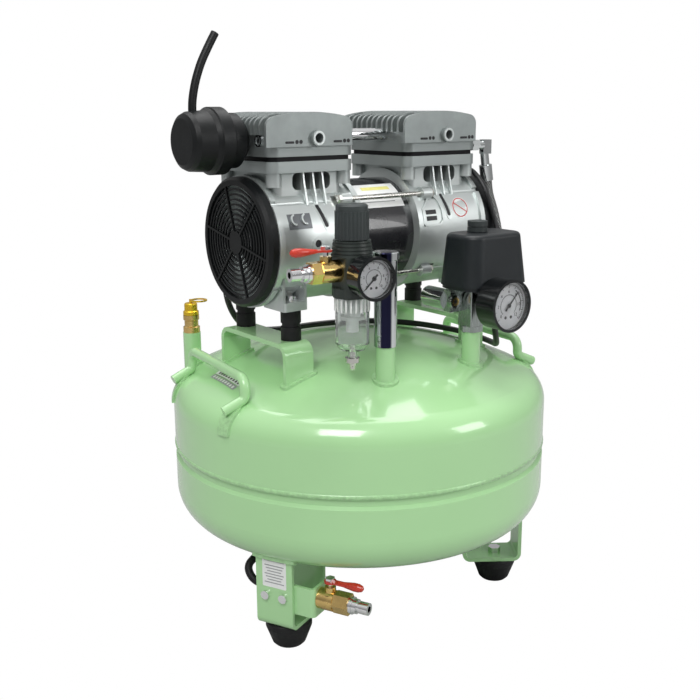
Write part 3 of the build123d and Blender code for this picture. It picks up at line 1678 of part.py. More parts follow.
bead_w = 3.5
with BuildPart() as weld_beads:
    with BuildSketch(Plane.XY.offset(225)):
        with Locations(*port_places):
            Circle(post_r + bead_w)
        for x in (left_mount_x - 4.4, right_mount_x - 4.2):
            for y in (-bracket_half - 4 + bracket_t / 2, bracket_half - bracket_t / 2):
                with Locations((x, y)):
                    RectangleRounded(bracket_w + 2 * bead_w, bracket_t + 2 * bead_w, 3.5)
        for turn in (handle_turn, handle_turn + 180):
            for along in (-handle_half + 0.7, handle_half - 0.7):
                foot = handle_point(turn, handle_r + 18, along, 0)
                with Locations(Location(foot, (0, 0, turn))):
                    SlotOverall(26, rod_d + 4)
    extrude(amount=75)
    with BuildSketch(Plane.XY.offset(60)):
        for angle in leg_angles:
            for radius in (leg_outer_r - strap_t / 2, leg_inner_r + strap_t / 2):
                middle = handle_point(angle, radius, (leg_side_low + leg_side_high) / 2, 0)
                with Locations(Location(middle, (0, 0, angle))):
                    RectangleRounded(strap_t + 2 * bead_w, leg_width + 2 * bead_w, 3.5)
    extrude(amount=70)
    add(bead_skin.part, mode=Mode.INTERSECT)
    add(tank_solid.part, mode=Mode.SUBTRACT)
    # the bead that fills the joggle between the two shells
    with BuildSketch(Plane.XZ):
        with BuildLine():
            bulge = ThreePointArc(
                (joggle_r, seam_z - 5), (tank_r + 0.9, seam_z - 2.2), (tank_r, seam_z)
            )
            Polyline(bulge @ 1, (joggle_r, seam_z), bulge @ 0)
        make_face()
    revolve(axis=Axis.Z)
    for welded in (tank_ports, motor_brackets, lift_handles, leg_straps):
        add(welded.part, mode=Mode.SUBTRACT)
finish(weld_beads, "weld_beads")
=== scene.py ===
"""Looks of the oil-free air compressor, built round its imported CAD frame, in metres.

The origin is on the floor under the tank's axis, +Z is up, the gauges face -Y and the
intake silencer is at the -X end.
"""

from math import atan2, cos, pi, radians, sin, sqrt

import bmesh
import bpy
from mathutils import Matrix, Vector


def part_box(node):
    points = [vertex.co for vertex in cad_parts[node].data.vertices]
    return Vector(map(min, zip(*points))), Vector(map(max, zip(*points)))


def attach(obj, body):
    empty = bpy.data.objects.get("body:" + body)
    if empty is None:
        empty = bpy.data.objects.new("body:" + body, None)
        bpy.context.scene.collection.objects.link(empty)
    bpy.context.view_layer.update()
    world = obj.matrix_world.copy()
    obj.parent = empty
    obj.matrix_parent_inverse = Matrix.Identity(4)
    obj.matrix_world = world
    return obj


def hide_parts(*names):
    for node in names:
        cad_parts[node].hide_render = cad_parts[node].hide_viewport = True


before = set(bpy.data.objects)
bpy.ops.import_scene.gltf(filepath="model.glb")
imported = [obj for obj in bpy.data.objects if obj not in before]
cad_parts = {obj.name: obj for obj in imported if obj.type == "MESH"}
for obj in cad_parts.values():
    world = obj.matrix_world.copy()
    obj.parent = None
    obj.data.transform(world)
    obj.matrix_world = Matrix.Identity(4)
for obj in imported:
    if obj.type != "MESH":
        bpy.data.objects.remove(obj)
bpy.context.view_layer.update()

# ---------------------------------------------------------------- sizes taken from the frame
MM = 0.001
shaft_low, shaft_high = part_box("motor_shaft")
MOTOR_Z = (shaft_low[2] + shaft_high[2]) / 2
BARREL_R = 62 * MM
STATOR_R = 55 * MM
LEFT_HEAD_X = -88.8 * MM
RIGHT_HEAD_X = 75.4 * MM
PLATE_TOP_Z = 491.5 * MM
HEAD_FRONT_Y = -54 * MM


# ---------------------------------------------------------------- materials
class Finish:
    """A node material under construction, with its coordinates and shader at hand."""

    def __init__(self, name, roughness=0.4, metallic=0.0, coat=0.0, **sockets):
        self.material = bpy.data.materials.new(name)
        self.material.use_nodes = True
        self.nodes = self.material.node_tree.nodes
        self.links = self.material.node_tree.links
        self.shader = self.nodes["Principled BSDF"]
        self.shader.inputs["Roughness"].default_value = roughness
        self.shader.inputs["Metallic"].default_value = metallic
        self.shader.inputs["Coat Weight"].default_value = coat
        for label, value in sockets.items():
            self.shader.inputs[label.replace("_", " ")].default_value = value
        self.place = self.nodes.new("ShaderNodeTexCoord").outputs["Object"]

    def stretched(self, scale):
        """Object coordinates scaled differently along each axis."""
        mapping = self.nodes.new("ShaderNodeMapping")
        mapping.inputs["Scale"].default_value = scale
        self.links.new(self.place, mapping.inputs["Vector"])
        return mapping.outputs["Vector"]

    def noise(self, scale, detail=3.0, place=None):
        """A noise pattern; scale is in waves per metre."""
        node = self.nodes.new("ShaderNodeTexNoise")
        node.inputs["Scale"].default_value = scale
        node.inputs["Detail"].default_value = detail
        self.links.new(place or self.place, node.inputs["Vector"])
        return node.outputs["Fac"]

    def waves(self, scale, direction, place=None):
        """Parallel bands across one direction."""
        node = self.nodes.new("ShaderNodeTexWave")
        node.bands_direction = direction
        node.inputs["Scale"].default_value = scale
        self.links.new(place or self.place, node.inputs["Vector"])
        return node.outputs["Fac"]

    def ramp(self, value, stops):
        """A colour ramp through (position, colour) stops."""
        node = self.nodes.new("ShaderNodeValToRGB")
        elements = node.color_ramp.elements
        while len(elements) < len(stops):
            elements.new(0.5)
        for element, (position, colour) in zip(elements, stops):
            element.position = position
            element.color = (*colour, 1.0)
        self.links.new(value, node.inputs["Fac"])
        return node.outputs["Color"]

    def spread(self, value, low, high):
        """A 0 to 1 pattern brought to a range."""
        node = self.nodes.new("ShaderNodeMapRange")
        node.inputs["From Min"].default_value = 0.3
        node.inputs["From Max"].default_value = 0.7
        node.inputs["To Min"].default_value = low
        node.inputs["To Max"].default_value = high
        self.links.new(value, node.inputs["Value"])
        return node.outputs["Result"]

    def colour(self, output):
        self.links.new(output, self.shader.inputs["Base Color"])

    def rough(self, output):
        self.links.new(output, self.shader.inputs["Roughness"])

    def bump(self, output, depth):
        """Relief from a pattern; depth is its height in metres."""
        node = self.nodes.new("ShaderNodeBump")
        node.inputs["Distance"].default_value = depth
        node.inputs["Strength"].default_value = 1.0
        self.links.new(output, node.inputs["Height"])
        self.links.new(node.outputs["Normal"], self.shader.inputs["Normal"])


def shade(colour, factor):
    """A colour made darker or lighter, and cut off at full brightness."""
    return tuple(min(1.0, part * factor) for part in colour)


def mottled(name, colour, vary=0.08, patch=30, rough=(0.35, 0.45), grain=900,
            depth=0.00004, metallic=0.0, coat=0.0, **sockets):
    """A finish whose colour drifts in soft patches, with uneven gloss and a fine grain."""
    finish = Finish(name, metallic=metallic, coat=coat, **sockets)
    patches = finish.noise(patch, 4.0)
    finish.colour(finish.ramp(patches, (
        (0.3, shade(colour, 1 - vary)), (0.7, shade(colour, 1 + vary)))))
    finish.rough(finish.spread(finish.noise(patch * 3, 2.0), *rough))
    finish.bump(finish.noise(grain, 2.0), depth)
    return finish.material


def brushed(name, colour, along, rough=(0.22, 0.36)):
    """Machined metal with fine marks running along one axis."""
    finish = Finish(name, metallic=1.0)
    waves_across, waves_along = 1500.0, 40.0
    scale = [waves_along if axis == along else waves_across for axis in "XYZ"]
    marks = finish.noise(1.0, 3.0, finish.stretched(scale))
    finish.colour(finish.ramp(marks, ((0.3, shade(colour, 0.82)), (0.7, shade(colour, 1.1)))))
    finish.rough(finish.spread(marks, *rough))
    finish.bump(marks, 0.00002)
    return finish.material


def banded(name, colour, groove, scale, along, metallic, rough=0.4):
    """Even bands with dark grooves, for wound wire and laminations."""
    finish = Finish(name, roughness=rough, metallic=metallic)
    bands = finish.waves(scale, along)
    finish.colour(finish.ramp(bands, ((0.12, groove), (0.4, colour))))
    finish.bump(bands, 0.0002)
    return finish.material


def braid(name):
    """Two sets of wires that cross, over a dark hose."""
    finish = Finish(name, metallic=0.9, roughness=0.34)
    weave = finish.nodes.new("ShaderNodeMath")
    weave.operation = "MAXIMUM"
    wire_waves, wire_tilt = 170.0, 0.75
    for socket, tilt in zip(weave.inputs, (wire_tilt, -wire_tilt)):
        mapping = finish.nodes.new("ShaderNodeMapping")
        mapping.inputs["Rotation"].default_value = (tilt, tilt, 0.0)
        finish.links.new(finish.place, mapping.inputs["Vector"])
        wires = finish.waves(wire_waves, "Z", mapping.outputs["Vector"])
        finish.links.new(wires, socket)
    finish.colour(finish.ramp(weave.outputs["Value"], (
        (0.60, (0.008, 0.008, 0.008)), (0.95, (0.42, 0.43, 0.42)))))
    finish.bump(weave.outputs["Value"], 0.0004)
    return finish.material


def clear(name, tint, transmission, rough):
    """Transparent acrylic with faint flow marks."""
    finish = Finish(name, Transmission_Weight=transmission, IOR=1.49)
    flow = finish.noise(60, 2.0)
    finish.colour(finish.ramp(flow, ((0.3, tint), (0.7, shade(tint, 1.05)))))
    finish.rough(finish.spread(flow, rough, rough + 0.04))
    return finish.material


def painted_weld(name, colour):
    """Gloss paint over a rippled bead."""
    finish = Finish(name, roughness=0.3, coat=0.5, Coat_Roughness=0.12)
    ripple = finish.noise(260, 2.0)
    finish.colour(finish.ramp(ripple, ((0.25, shade(colour, 0.8)), (0.7, colour))))
    finish.bump(ripple, 0.0009)
    return finish.material


def graded(name, direction, start, length, stops, rough=(0.06, 0.16), metallic=1.0):
    """Colours that follow one another along a direction, from start over a length."""
    finish = Finish(name, metallic=metallic)
    along = finish.nodes.new("ShaderNodeVectorMath")
    along.operation = "DOT_PRODUCT"
    along.inputs[1].default_value = direction
    finish.links.new(finish.place, along.inputs[0])
    part = finish.nodes.new("ShaderNodeMath")
    part.operation = "MULTIPLY_ADD"
    part.inputs[1].default_value = 1 / length
    part.inputs[2].default_value = -start / length
    finish.links.new(along.outputs["Value"], part.inputs[0])
    finish.colour(finish.ramp(part.outputs["Value"], stops))
    smudges = finish.noise(90, 3.0)
    finish.rough(finish.spread(smudges, *rough))
    finish.bump(smudges, 0.00003)
    return finish.material


GREEN = (0.400, 0.690, 0.340)
SILVER = (0.61, 0.65, 0.64)
HEAD_GREY = (0.30, 0.33, 0.325)
BLACK = (0.004, 0.005, 0.0055)
green_paint = mottled("green_paint", GREEN, vary=0.03, patch=6, rough=(0.16, 0.22),
                      grain=160, depth=0.00006, coat=0.7, Coat_Roughness=0.06)
weld_paint = painted_weld("weld_paint", GREEN)
cast_silver = mottled("cast_silver", SILVER, vary=0.07, patch=45, rough=(0.34, 0.46),
                      grain=1300, depth=0.00009, metallic=0.75)
# the barrel's silver turns into a grey near the head's on the way up the neck
NECK_LOW_Z = 445 * MM
barrel_silver = graded("barrel_silver", (0, 0, 1), NECK_LOW_Z, 25 * MM,
                       ((0.3, SILVER), (0.9, shade(HEAD_GREY, 1.25))), rough=(0.34, 0.46),
                       metallic=0.75)
cast_grey = mottled("cast_grey", HEAD_GREY, vary=0.08, patch=50, rough=(0.38, 0.5),
                    grain=1200, depth=0.0001, metallic=0.7)
# painted shade for the ground of the recess behind the curled lugs
painted_recess_shade = mottled("painted_recess_shade", (0.16, 0.17, 0.18), vary=0.1, metallic=0.6)
# painted shade in the joint under the valve plate, where the gasket sits: the valve plate is
# dark below this height
PLATE_EDGE_Z = 482 * MM
plate_and_painted_gap_shade = graded("plate_and_painted_gap_shade", (0, 0, 1), PLATE_EDGE_Z, 1 * MM,
                     ((0.3, (0.012, 0.012, 0.013)), (0.5, HEAD_GREY)),
                     rough=(0.36, 0.46), metallic=0.75)
# painted shade: the sleeves are made near black so that the inside of the neck windows looks
# dark
sleeve_painted_shade = mottled("sleeve_painted_shade", (0.010, 0.010, 0.011), vary=0.2, patch=80, rough=(0.5, 0.6))
piston_steel = brushed("piston_steel", (0.6, 0.6, 0.62), "Z")
black_moulding = mottled("black_moulding", BLACK, vary=0.25, patch=25, rough=(0.38, 0.5),
                         grain=1500, depth=0.00006, Specular_IOR_Level=0.3)
gauge_black = mottled("gauge_black", BLACK, vary=0.25, patch=25, rough=(0.10, 0.18),
                      grain=600, depth=0.00002, Specular_IOR_Level=0.45)
switch_moulding = mottled("switch_moulding", (0.009, 0.012, 0.014), vary=0.2, patch=18,
                          rough=(0.36, 0.46), grain=1800, depth=0.00005,
                          Specular_IOR_Level=0.4)
knob_moulding = mottled("knob_moulding", (0.030, 0.038, 0.038), vary=0.15, patch=40,
                        rough=(0.42, 0.55), grain=1500, depth=0.00005)
grey_moulding = mottled("grey_moulding", (0.022, 0.030, 0.026), vary=0.2, patch=40,
                        rough=(0.3, 0.42), grain=900, depth=0.00005)
white_moulding = mottled("white_moulding", (0.78, 0.80, 0.78), vary=0.05)
clear_bowl = clear("clear_bowl", (0.93, 0.97, 0.95), 0.96, 0.03)
clear_lens = clear("clear_lens", (0.98, 0.99, 1.0), 1.0, 0.0)
rubber = mottled("rubber", (0.008, 0.008, 0.009), vary=0.3, patch=60, rough=(0.45, 0.6),
                 grain=700, depth=0.0001, Specular_IOR_Level=0.35)
cable_jacket = mottled("cable_jacket", (0.012, 0.012, 0.013), vary=0.3, patch=80,
                       rough=(0.3, 0.4), grain=500, depth=0.00005)
braided = braid("braided")
motor_black = mottled("motor_black", (0.010, 0.010, 0.012), vary=0.3, patch=12,
                      rough=(0.2, 0.3), grain=300, depth=0.00006, coat=0.6)
copper = banded("copper", (0.60, 0.26, 0.11), (0.15, 0.05, 0.02), 250, "Z", 0.9, 0.35)
laminated = banded("laminated", (0.36, 0.37, 0.39), (0.06, 0.06, 0.06), 420, "X", 0.9)
ground_steel = brushed("ground_steel", (0.62, 0.63, 0.65), "X")
zinc = mottled("zinc", (0.62, 0.61, 0.57), vary=0.06, patch=40, rough=(0.2, 0.32),
               grain=300, depth=0.000002, metallic=1.0)
chrome = mottled("chrome", (0.80, 0.80, 0.81), vary=0.04, patch=70, rough=(0.05, 0.14),
                 grain=400, depth=0.00002, metallic=1.0)
CHROME_LIGHT = (0.74, 0.77, 0.77)
CHROME_DARK = (0.02, 0.02, 0.05)
# the riser's chrome has a dark reflection up its middle, between two light edges
pipe_metals = graded("pipe_metals", (0.8, -0.6, 0), 13 * MM, 22 * MM, (
    (0.12, (0.30, 0.36, 0.32)), (0.22, CHROME_LIGHT), (0.30, CHROME_DARK),
    (0.70, CHROME_DARK), (0.78, CHROME_LIGHT)))
brass = mottled("brass", (0.74, 0.52, 0.20), vary=0.1, patch=90, rough=(0.14, 0.28),
                grain=700, depth=0.00004, metallic=1.0)
gold = mottled("gold", (0.85, 0.56, 0.04), vary=0.1, patch=120, rough=(0.2, 0.34),
               grain=700, depth=0.00004, metallic=0.8)
red_vinyl = mottled("red_vinyl", (0.52, 0.032, 0.014), vary=0.12, patch=60,
                    rough=(0.25, 0.36), grain=400, depth=0.00006, coat=0.3)
dial_white = mottled("dial_white", (0.83, 0.84, 0.85), vary=0.03, patch=80,
                     rough=(0.4, 0.5))
# black print and needles; the same black sheets paint the shade inside slots, slits, holes and
# sockets
black_ink_and_hole_shade = mottled("black_ink_and_hole_shade", (0.01, 0.01, 0.012), vary=0.3, patch=200, rough=(0.4, 0.5))
red_ink = mottled("red_ink", (0.55, 0.02, 0.02), vary=0.1, patch=200, rough=(0.4, 0.5))
yellow_ink = mottled("yellow_ink", (0.78, 0.74, 0.25), vary=0.1, patch=200)
grey_ink = mottled("grey_ink", (0.30, 0.31, 0.32), vary=0.1, patch=200)
paper = mottled("paper", (0.82, 0.83, 0.82), vary=0.03, patch=120, rough=(0.3, 0.4))
foam = mottled("foam", (0.62, 0.60, 0.52), vary=0.15, patch=400, rough=(0.85, 0.95),
               grain=1200, depth=0.0004)
switch_metal = brushed("switch_metal", (0.40, 0.44, 0.42), "Z", rough=(0.18, 0.3))

NODE_FINISH = {
    green_paint: ("leg_straps", "lift_handles", "motor_brackets", "tank_lower_shell",
                  "tank_ports", "tank_upper_shell"),
    weld_paint: ("weld_beads",),
    barrel_silver: ("crankcase_left", "crankcase_right"),
    cast_silver: ("connecting_rod_left", "connecting_rod_right"),
    cast_grey: ("head_covers",),
    plate_and_painted_gap_shade: ("valve_plates",),
    sleeve_painted_shade: ("cylinder_sleeves",),
    piston_steel: ("piston_left", "piston_right"),
    black_moulding: ("cooling_fans", "fan_covers", "intake_snorkel", "silencer_cap",
                     "silencer_housing"),
    gauge_black: ("gauge_cases",),
    switch_moulding: ("switch_cover", "switch_base"),
    knob_moulding: ("regulator_knob", "switch_knob"),
    grey_moulding: ("regulator_body",),
    white_moulding: ("bowl_filter",),
    clear_bowl: ("regulator_bowl",),
    clear_lens: ("gauge_lenses",),
    rubber: ("rubber_feet", "vibration_mounts", "drain_hose"),
    cable_jacket: ("switch_cable",),
    braided: ("discharge_hose",),
    motor_black: ("stator_core",),
    copper: ("stator_windings",),
    laminated: ("rotor_core",),
    ground_steel: ("eccentrics", "motor_shaft", "shaft_bearings"),
    zinc: ("bowl_drain", "tie_rods"),
    chrome: ("drain_valve_ball", "outlet_valve_ball", "quick_nipples", "screws",
             "transfer_pipe"),
    pipe_metals: ("pipe_fittings",),
    brass: ("safety_valve_body", "valve_bodies"),
    gold: ("safety_valve_cap",),
    red_vinyl: ("drain_valve_lever", "outlet_valve_lever"),
    dial_white: ("gauge_dials",),
    black_ink_and_hole_shade: ("outlet_gauge_needle", "tank_gauge_needle"),
    foam: ("silencer_element",),
    switch_metal: ("manifold",),
}
for material, names in NODE_FINISH.items():
    for name in names:
        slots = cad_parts[name].material_slots
        for index in range(len(slots)):
            slots[index].material = material

# edges that a casting or a bent strap has rounded: node, radius
EASED = (
    ("head_covers", 1.2), ("crankcase_left", 0.8), ("crankcase_right", 0.8),
    ("motor_brackets", 0.6), ("leg_straps", 0.6), ("valve_plates", 0.6),
    ("manifold", 0.8), ("regulator_body", 0.6), ("valve_bodies", 0.3),
    ("silencer_cap", 0.8), ("silencer_housing", 0.8), ("vibration_mounts", 0.8),
)
for name, radius in EASED:
    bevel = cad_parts[name].modifiers.new("eased_edges", "BEVEL")
    bevel.width = radius * MM
    bevel.segments = 2
    bevel.limit_method = "ANGLE"
    bevel.angle_limit = radians(35)
    bevel.use_clamp_overlap = True


# ---------------------------------------------------------------- mesh helpers
def piece_from(name, grow, materials):
    """A new piece that rides on the frame; grow(bm) fills its mesh."""
    mesh = bpy.data.meshes.new(name)
    bm = bmesh.new()
    grow(bm)
    bmesh.ops.recalc_face_normals(bm, faces=bm.faces)
    bm.to_mesh(mesh)
    bm.free()
    piece = bpy.data.objects.new(name, mesh)
    bpy.context.scene.collection.objects.link(piece)
    for material in materials if isinstance(materials, list) else [materials]:
        mesh.materials.append(material)
    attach(piece, "frame")


def slab(bm, outline, place, thickness, base=0.0, index=0):
    """A closed plate: outline's (u, v) points are put in space by place(u, v, height)."""
    low = [bm.verts.new(place(u, v, base)) for u, v in outline]
    high = [bm.verts.new(place(u, v, base + thickness)) for u, v in outline]
    faces = [bm.faces.new(high), bm.faces.new(list(reversed(low)))]
    count = len(outline)
    for first in range(count):
        second = (first + 1) % count
        faces.append(bm.faces.new((low[first], low[second], high[second], high[first])))
    for face in faces:
        face.material_index = index


def band(bm, outer, inner, place, thickness, base=0.0, index=0):
    """A closed frame between two outlines of the same number of points."""
    rings = [
        [bm.verts.new(place(u, v, height)) for u, v in outline]
        for outline, height in (
            (outer, base), (outer, base + thickness), (inner, base + thickness), (inner, base))
    ]
    count = len(outer)
    for ring, following in zip(rings, rings[1:] + rings[:1]):
        for first in range(count):
            second = (first + 1) % count
            face = bm.faces.new((ring[first], ring[second],
                                 following[second], following[first]))
            face.material_index = index


def rounded(width, height, radius, middle=(0.0, 0.0), turn=0.0, steps=5):
    """Outline of a rectangle with round corners, turned about its middle."""
    points = []
    for corner, (sign_u, sign_v) in enumerate(((1, 1), (-1, 1), (-1, -1), (1, -1))):
        for step in range(steps + 1):
            angle = (corner + step / steps) * pi / 2
            u = sign_u * (width / 2 - radius) + radius * cos(angle)
            v = sign_v * (height / 2 - radius) + radius * sin(angle)
            points.append((middle[0] + u * cos(turn) - v * sin(turn),
                           middle[1] + u * sin(turn) + v * cos(turn)))
    return points


def circle(radius, middle=(0.0, 0.0), steps=32):
    """Outline of a circle."""
    return [(middle[0] + radius * cos(2 * pi * step / steps),
             middle[1] + radius * sin(2 * pi * step / steps)) for step in range(steps)]


def divided(outline, step):
    """The outline with points added, so that its sides are about one step long."""
    points = []
    for (u0, v0), (u1, v1) in zip(outline, outline[1:] + outline[:1]):
        parts = max(1, round(sqrt((u1 - u0) ** 2 + (v1 - v0) ** 2) / step))
        points += [(u0 + (u1 - u0) * part / parts, v0 + (v1 - v0) * part / parts)
                   for part in range(parts)]
    return points


def on_cylinder(radius):
    """Puts (x, arc) on a cylinder round the motor's axis; arc is measured up from the front."""
    def place(x, arc, height):
        angle = arc / radius
        return (x, -(radius + height) * cos(angle), MOTOR_Z + (radius + height) * sin(angle))
    return place


on_barrel = on_cylinder(BARREL_R)
STRIP = 3 * MM  # how finely an outline is cut to follow a curved side


def wrapped_slab(bm, outline, radius, thickness, base=0.0, index=0):
    """A plate that follows the motor's round side, cut in strips along the arc."""
    place = on_cylinder(radius)
    arcs = [v for _, v in outline]
    low, high = min(arcs), max(arcs)
    strips = max(1, round((high - low) / STRIP))
    left = min(u for u, _ in outline)
    right = max(u for u, _ in outline)
    for strip in range(strips):
        v0 = low + (high - low) * strip / strips
        v1 = low + (high - low) * (strip + 1) / strips
        slab(bm, ((left, v0), (right, v0), (right, v1), (left, v1)), place, thickness,
             base, index)


# ---------------------------------------------------------------- gauges
DIAL_DEPTH = 5.95 * MM
PRINT_THICK = 0.12 * MM
SCALE_START = radians(225)
SCALE_SWEEP = radians(270)


def gauge(name, centre, facing, radius, full_scale, step_value, limit_from, limit_to):
    """Printed scale of one gauge: rings, ticks and numbers on its dial.

    centre is the middle of the gauge's front, and limit_from and limit_to are parts of
    the sweep. Distances from the middle of the dial are parts of its radius.
    """
    face_normal = Vector(facing).normalized()
    right = Vector((-face_normal.y, face_normal.x, 0.0))
    up = Vector((0.0, 0.0, 1.0))
    origin = Vector(centre) - face_normal * DIAL_DEPTH
    outer_ring, inner_ring, figures = 0.88 * radius, 0.46 * radius, 0.60 * radius

    def place(u, v, height):
        return origin + right * u + up * v + face_normal * height

    def angle_at(share):
        return SCALE_START - SCALE_SWEEP * share

    def arc(bm, inner, outer, begin, end, parts=48):
        for part in range(parts):
            a0 = angle_at(begin + (end - begin) * part / parts)
            a1 = angle_at(begin + (end - begin) * (part + 1) / parts)
            slab(bm, ((inner * cos(a0), inner * sin(a0)), (outer * cos(a0), outer * sin(a0)),
                      (outer * cos(a1), outer * sin(a1)), (inner * cos(a1), inner * sin(a1))),
                 place, PRINT_THICK)

    def tick(bm, middle, length, width, corner, angle):
        spot = (middle * cos(angle), middle * sin(angle))
        slab(bm, rounded(length, width, corner, spot, angle, 1), place, PRINT_THICK)

    def grow(bm):
        arc(bm, outer_ring, outer_ring + 0.02 * radius, 0.0, 1.0)
        arc(bm, inner_ring, inner_ring + 0.015 * radius, 0.0, 1.0)
        arc(bm, 0.70 * radius, 0.745 * radius, limit_from, limit_to, 16)
        ticks = 50
        for number in range(ticks + 1):
            angle = angle_at(number / ticks)
            major = number % 5 == 0
            length = (0.13 if major else 0.07) * radius
            width = (0.55 if major else 0.28) * MM
            tick(bm, outer_ring - length / 2, length, width, 0.05 * MM, angle)
            tick(bm, inner_ring, 0.05 * radius, 0.2 * MM, 0.04 * MM, angle)
        for side in (-0.16, 0.16):
            slab(bm, circle(0.07 * radius, (side * radius, -0.5 * radius), 16), place,
                 PRINT_THICK)

    piece_from(f"{name}_scale", grow, black_ink_and_hole_shade)

    count = full_scale // step_value
    for number in range(count + 1):
        angle = angle_at(number / count)
        text = bpy.data.curves.new(f"{name}_number_{number}", "FONT")
        text.body = str(number * step_value)
        text.size = 0.2 * radius
        text.extrude = PRINT_THICK / 2
        text.align_x = "CENTER"
        text.align_y = "CENTER"
        text.materials.append(black_ink_and_hole_shade)
        figure = bpy.data.objects.new(f"{name}_number_{number}", text)
        bpy.context.scene.collection.objects.link(figure)
        spot = place(figures * cos(angle), figures * sin(angle), PRINT_THICK / 2)
        turn = Matrix((right, up, face_normal)).transposed().to_4x4()
        figure.matrix_world = Matrix.Translation(spot) @ turn
        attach(figure, "frame")


COLUMN_TURN = radians(173)
COLUMN_FOOT = Vector((-57, -116, 0)) * MM
REGULATOR_AT = 36.5 * MM
OUTLET_GAUGE_FRONT = 43.5 * MM
OUTLET_GAUGE_Z = 379 * MM
GAUGE_FACING = (-sin(COLUMN_TURN), cos(COLUMN_TURN), 0.0)
REGULATOR = COLUMN_FOOT + Vector((cos(COLUMN_TURN), sin(COLUMN_TURN), 0)) * REGULATOR_AT
OUTLET_GAUGE = (REGULATOR + Vector(GAUGE_FACING) * OUTLET_GAUGE_FRONT
                + Vector((0, 0, OUTLET_GAUGE_Z)))
TANK_GAUGE = Vector((55, -173, 338.5)) * MM
gauge("outlet_gauge", OUTLET_GAUGE, GAUGE_FACING, 17.2 * MM, 10, 2, 0.84, 0.88)
gauge("tank_gauge", TANK_GAUGE, (0, -1, 0), 23.2 * MM, 12, 2, 0.62, 0.92)


# ---------------------------------------------------------------- heads
def head_details(name, head_x):
    """Small slots in the front plate on both sides of its port, drawn as black sheets of
    painted shade, and a threaded port ring.
    """
    def front(u, v, height):
        return (head_x + u, HEAD_FRONT_Y - height, PLATE_TOP_Z + v)

    def slots(bm):
        for middle in (-32, 23):
            slab(bm, rounded(10 * MM, 2.2 * MM, 1 * MM, (middle * MM, 4.0 * MM)), front,
                 0.15 * MM)
            for dot in (8, 12.5):
                slab(bm, circle(1.9 * MM, ((middle + dot) * MM, 4.4 * MM), 12), front,
                     0.2 * MM)

    piece_from(f"{name}_slots", slots, black_ink_and_hole_shade)

    def ring(bm):
        middle = (-1.5 * MM, 7.6 * MM)
        band(bm, circle(6.6 * MM, middle), circle(4.6 * MM, middle), front, 0.5 * MM,
             base=4.0 * MM)

    piece_from(f"{name}_port_ring", ring, cast_silver)


head_details("left_head", LEFT_HEAD_X)
head_details("right_head", RIGHT_HEAD_X)


def plug(name, centre, facing, radius, material):
    """A round plug on a flat, upright face: a chrome ring, a body and a socket drawn as a black
    disc of painted shade.
    """
    normal = Vector(facing)
    side = normal.cross(Vector((0, 0, 1)))

    def place(u, v, height):
        return Vector(centre) + side * u + Vector((0, 0, 1)) * v + normal * height

    body_radius = 0.7 * radius

    def ring(bm):
        band(bm, circle(radius), circle(body_radius), place, 1.6 * MM)

    def body(bm):
        slab(bm, circle(body_radius), place, 1.2 * MM)

    def socket(bm):
        slab(bm, circle(0.32 * radius), place, 1.4 * MM)

    piece_from(f"{name}_ring", ring, chrome)
    piece_from(f"{name}_body", body, material)
    piece_from(f"{name}_socket", socket, black_ink_and_hole_shade)


plug("left_head_plug", (-138 * MM, -29 * MM, 497 * MM), (-1, 0, 0), 6 * MM, cast_grey)
plug("check_valve_plug", (34 * MM, -114 * MM, 337 * MM), (0, -1, 0), 6.5 * MM, brass)


# ---------------------------------------------------------------- crankcases
def fins(name, head_x):
    """Three fins that run down from the neck's window onto the barrel."""
    fin_t = 1.8 * MM
    spacing = 11 * MM
    outline = ((-41, 467), (-44.5, 467), (-46.5, 455), (-51.5, 437), (-50, 436),
               (-44, 447), (-41, 450))

    def grow(bm):
        for step in (-1, 0, 1):
            low = head_x + step * spacing - fin_t / 2

            def place(u, v, height):
                return (low + height, u * MM, v * MM)

            slab(bm, outline, place, fin_t)

    piece_from(name, grow, cast_silver)


fins("left_barrel_fins", LEFT_HEAD_X)
fins("right_barrel_fins", RIGHT_HEAD_X)


def slanted_slot(name, top, bottom):
    """A slot in a raised rim, its dark strip painted shade; top and bottom are (x, arc) points
    on the barrel.
    """
    run = Vector(top) - Vector(bottom)
    middle = (Vector(top) + Vector(bottom)) / 2
    turn = atan2(run.y, run.x)

    def rim(bm):
        outer = divided(rounded(run.length + 5 * MM, 6.6 * MM, 3 * MM, middle, turn),
                        STRIP)
        inner = [tuple(middle + (Vector(point) - middle) * 0.78) for point in outer]
        band(bm, outer, inner, on_barrel, 0.7 * MM, base=-0.2 * MM)

    def dark(bm):
        parts = 8
        half_width = 1.9 * MM
        side = Vector((-run.y, run.x)).normalized() * half_width
        for part in range(parts):
            a = Vector(bottom) + run * part / parts
            b = Vector(bottom) + run * (part + 1) / parts
            slab(bm, (tuple(a - side), tuple(b - side), tuple(b + side), tuple(a + side)),
                 on_barrel, 0.25 * MM, base=-0.05 * MM)

    piece_from(f"{name}_rim", rim, cast_silver)
    piece_from(f"{name}_dark", dark, black_ink_and_hole_shade)


slanted_slot("left_slot", (-90 * MM, 40 * MM), (-83 * MM, 15 * MM))
slanted_slot("right_slot", (70 * MM, 42 * MM), (75 * MM, 15 * MM))


def barrel_frame(bm, outline, shrink, thickness, base):
    """A frame on the barrel between an outline and its smaller copy."""
    points = divided(outline, STRIP)
    middle = sum((Vector(point) for point in points), Vector((0, 0))) / len(points)
    inner = [tuple(middle + (Vector(point) - middle) * shrink) for point in points]
    band(bm, points, inner, on_barrel, thickness, base)


SHIELD = [(u * MM, v * MM) for u, v in (
    (37, 10), (40, 7), (61, 7), (66, 11), (66, 24), (63, 36), (58, 42), (51, 40), (45, 32),
    (38, 25))]
piece_from("shield_frame", lambda bm: barrel_frame(bm, SHIELD, 0.84, 1.9 * MM, -0.3 * MM),
           cast_silver)


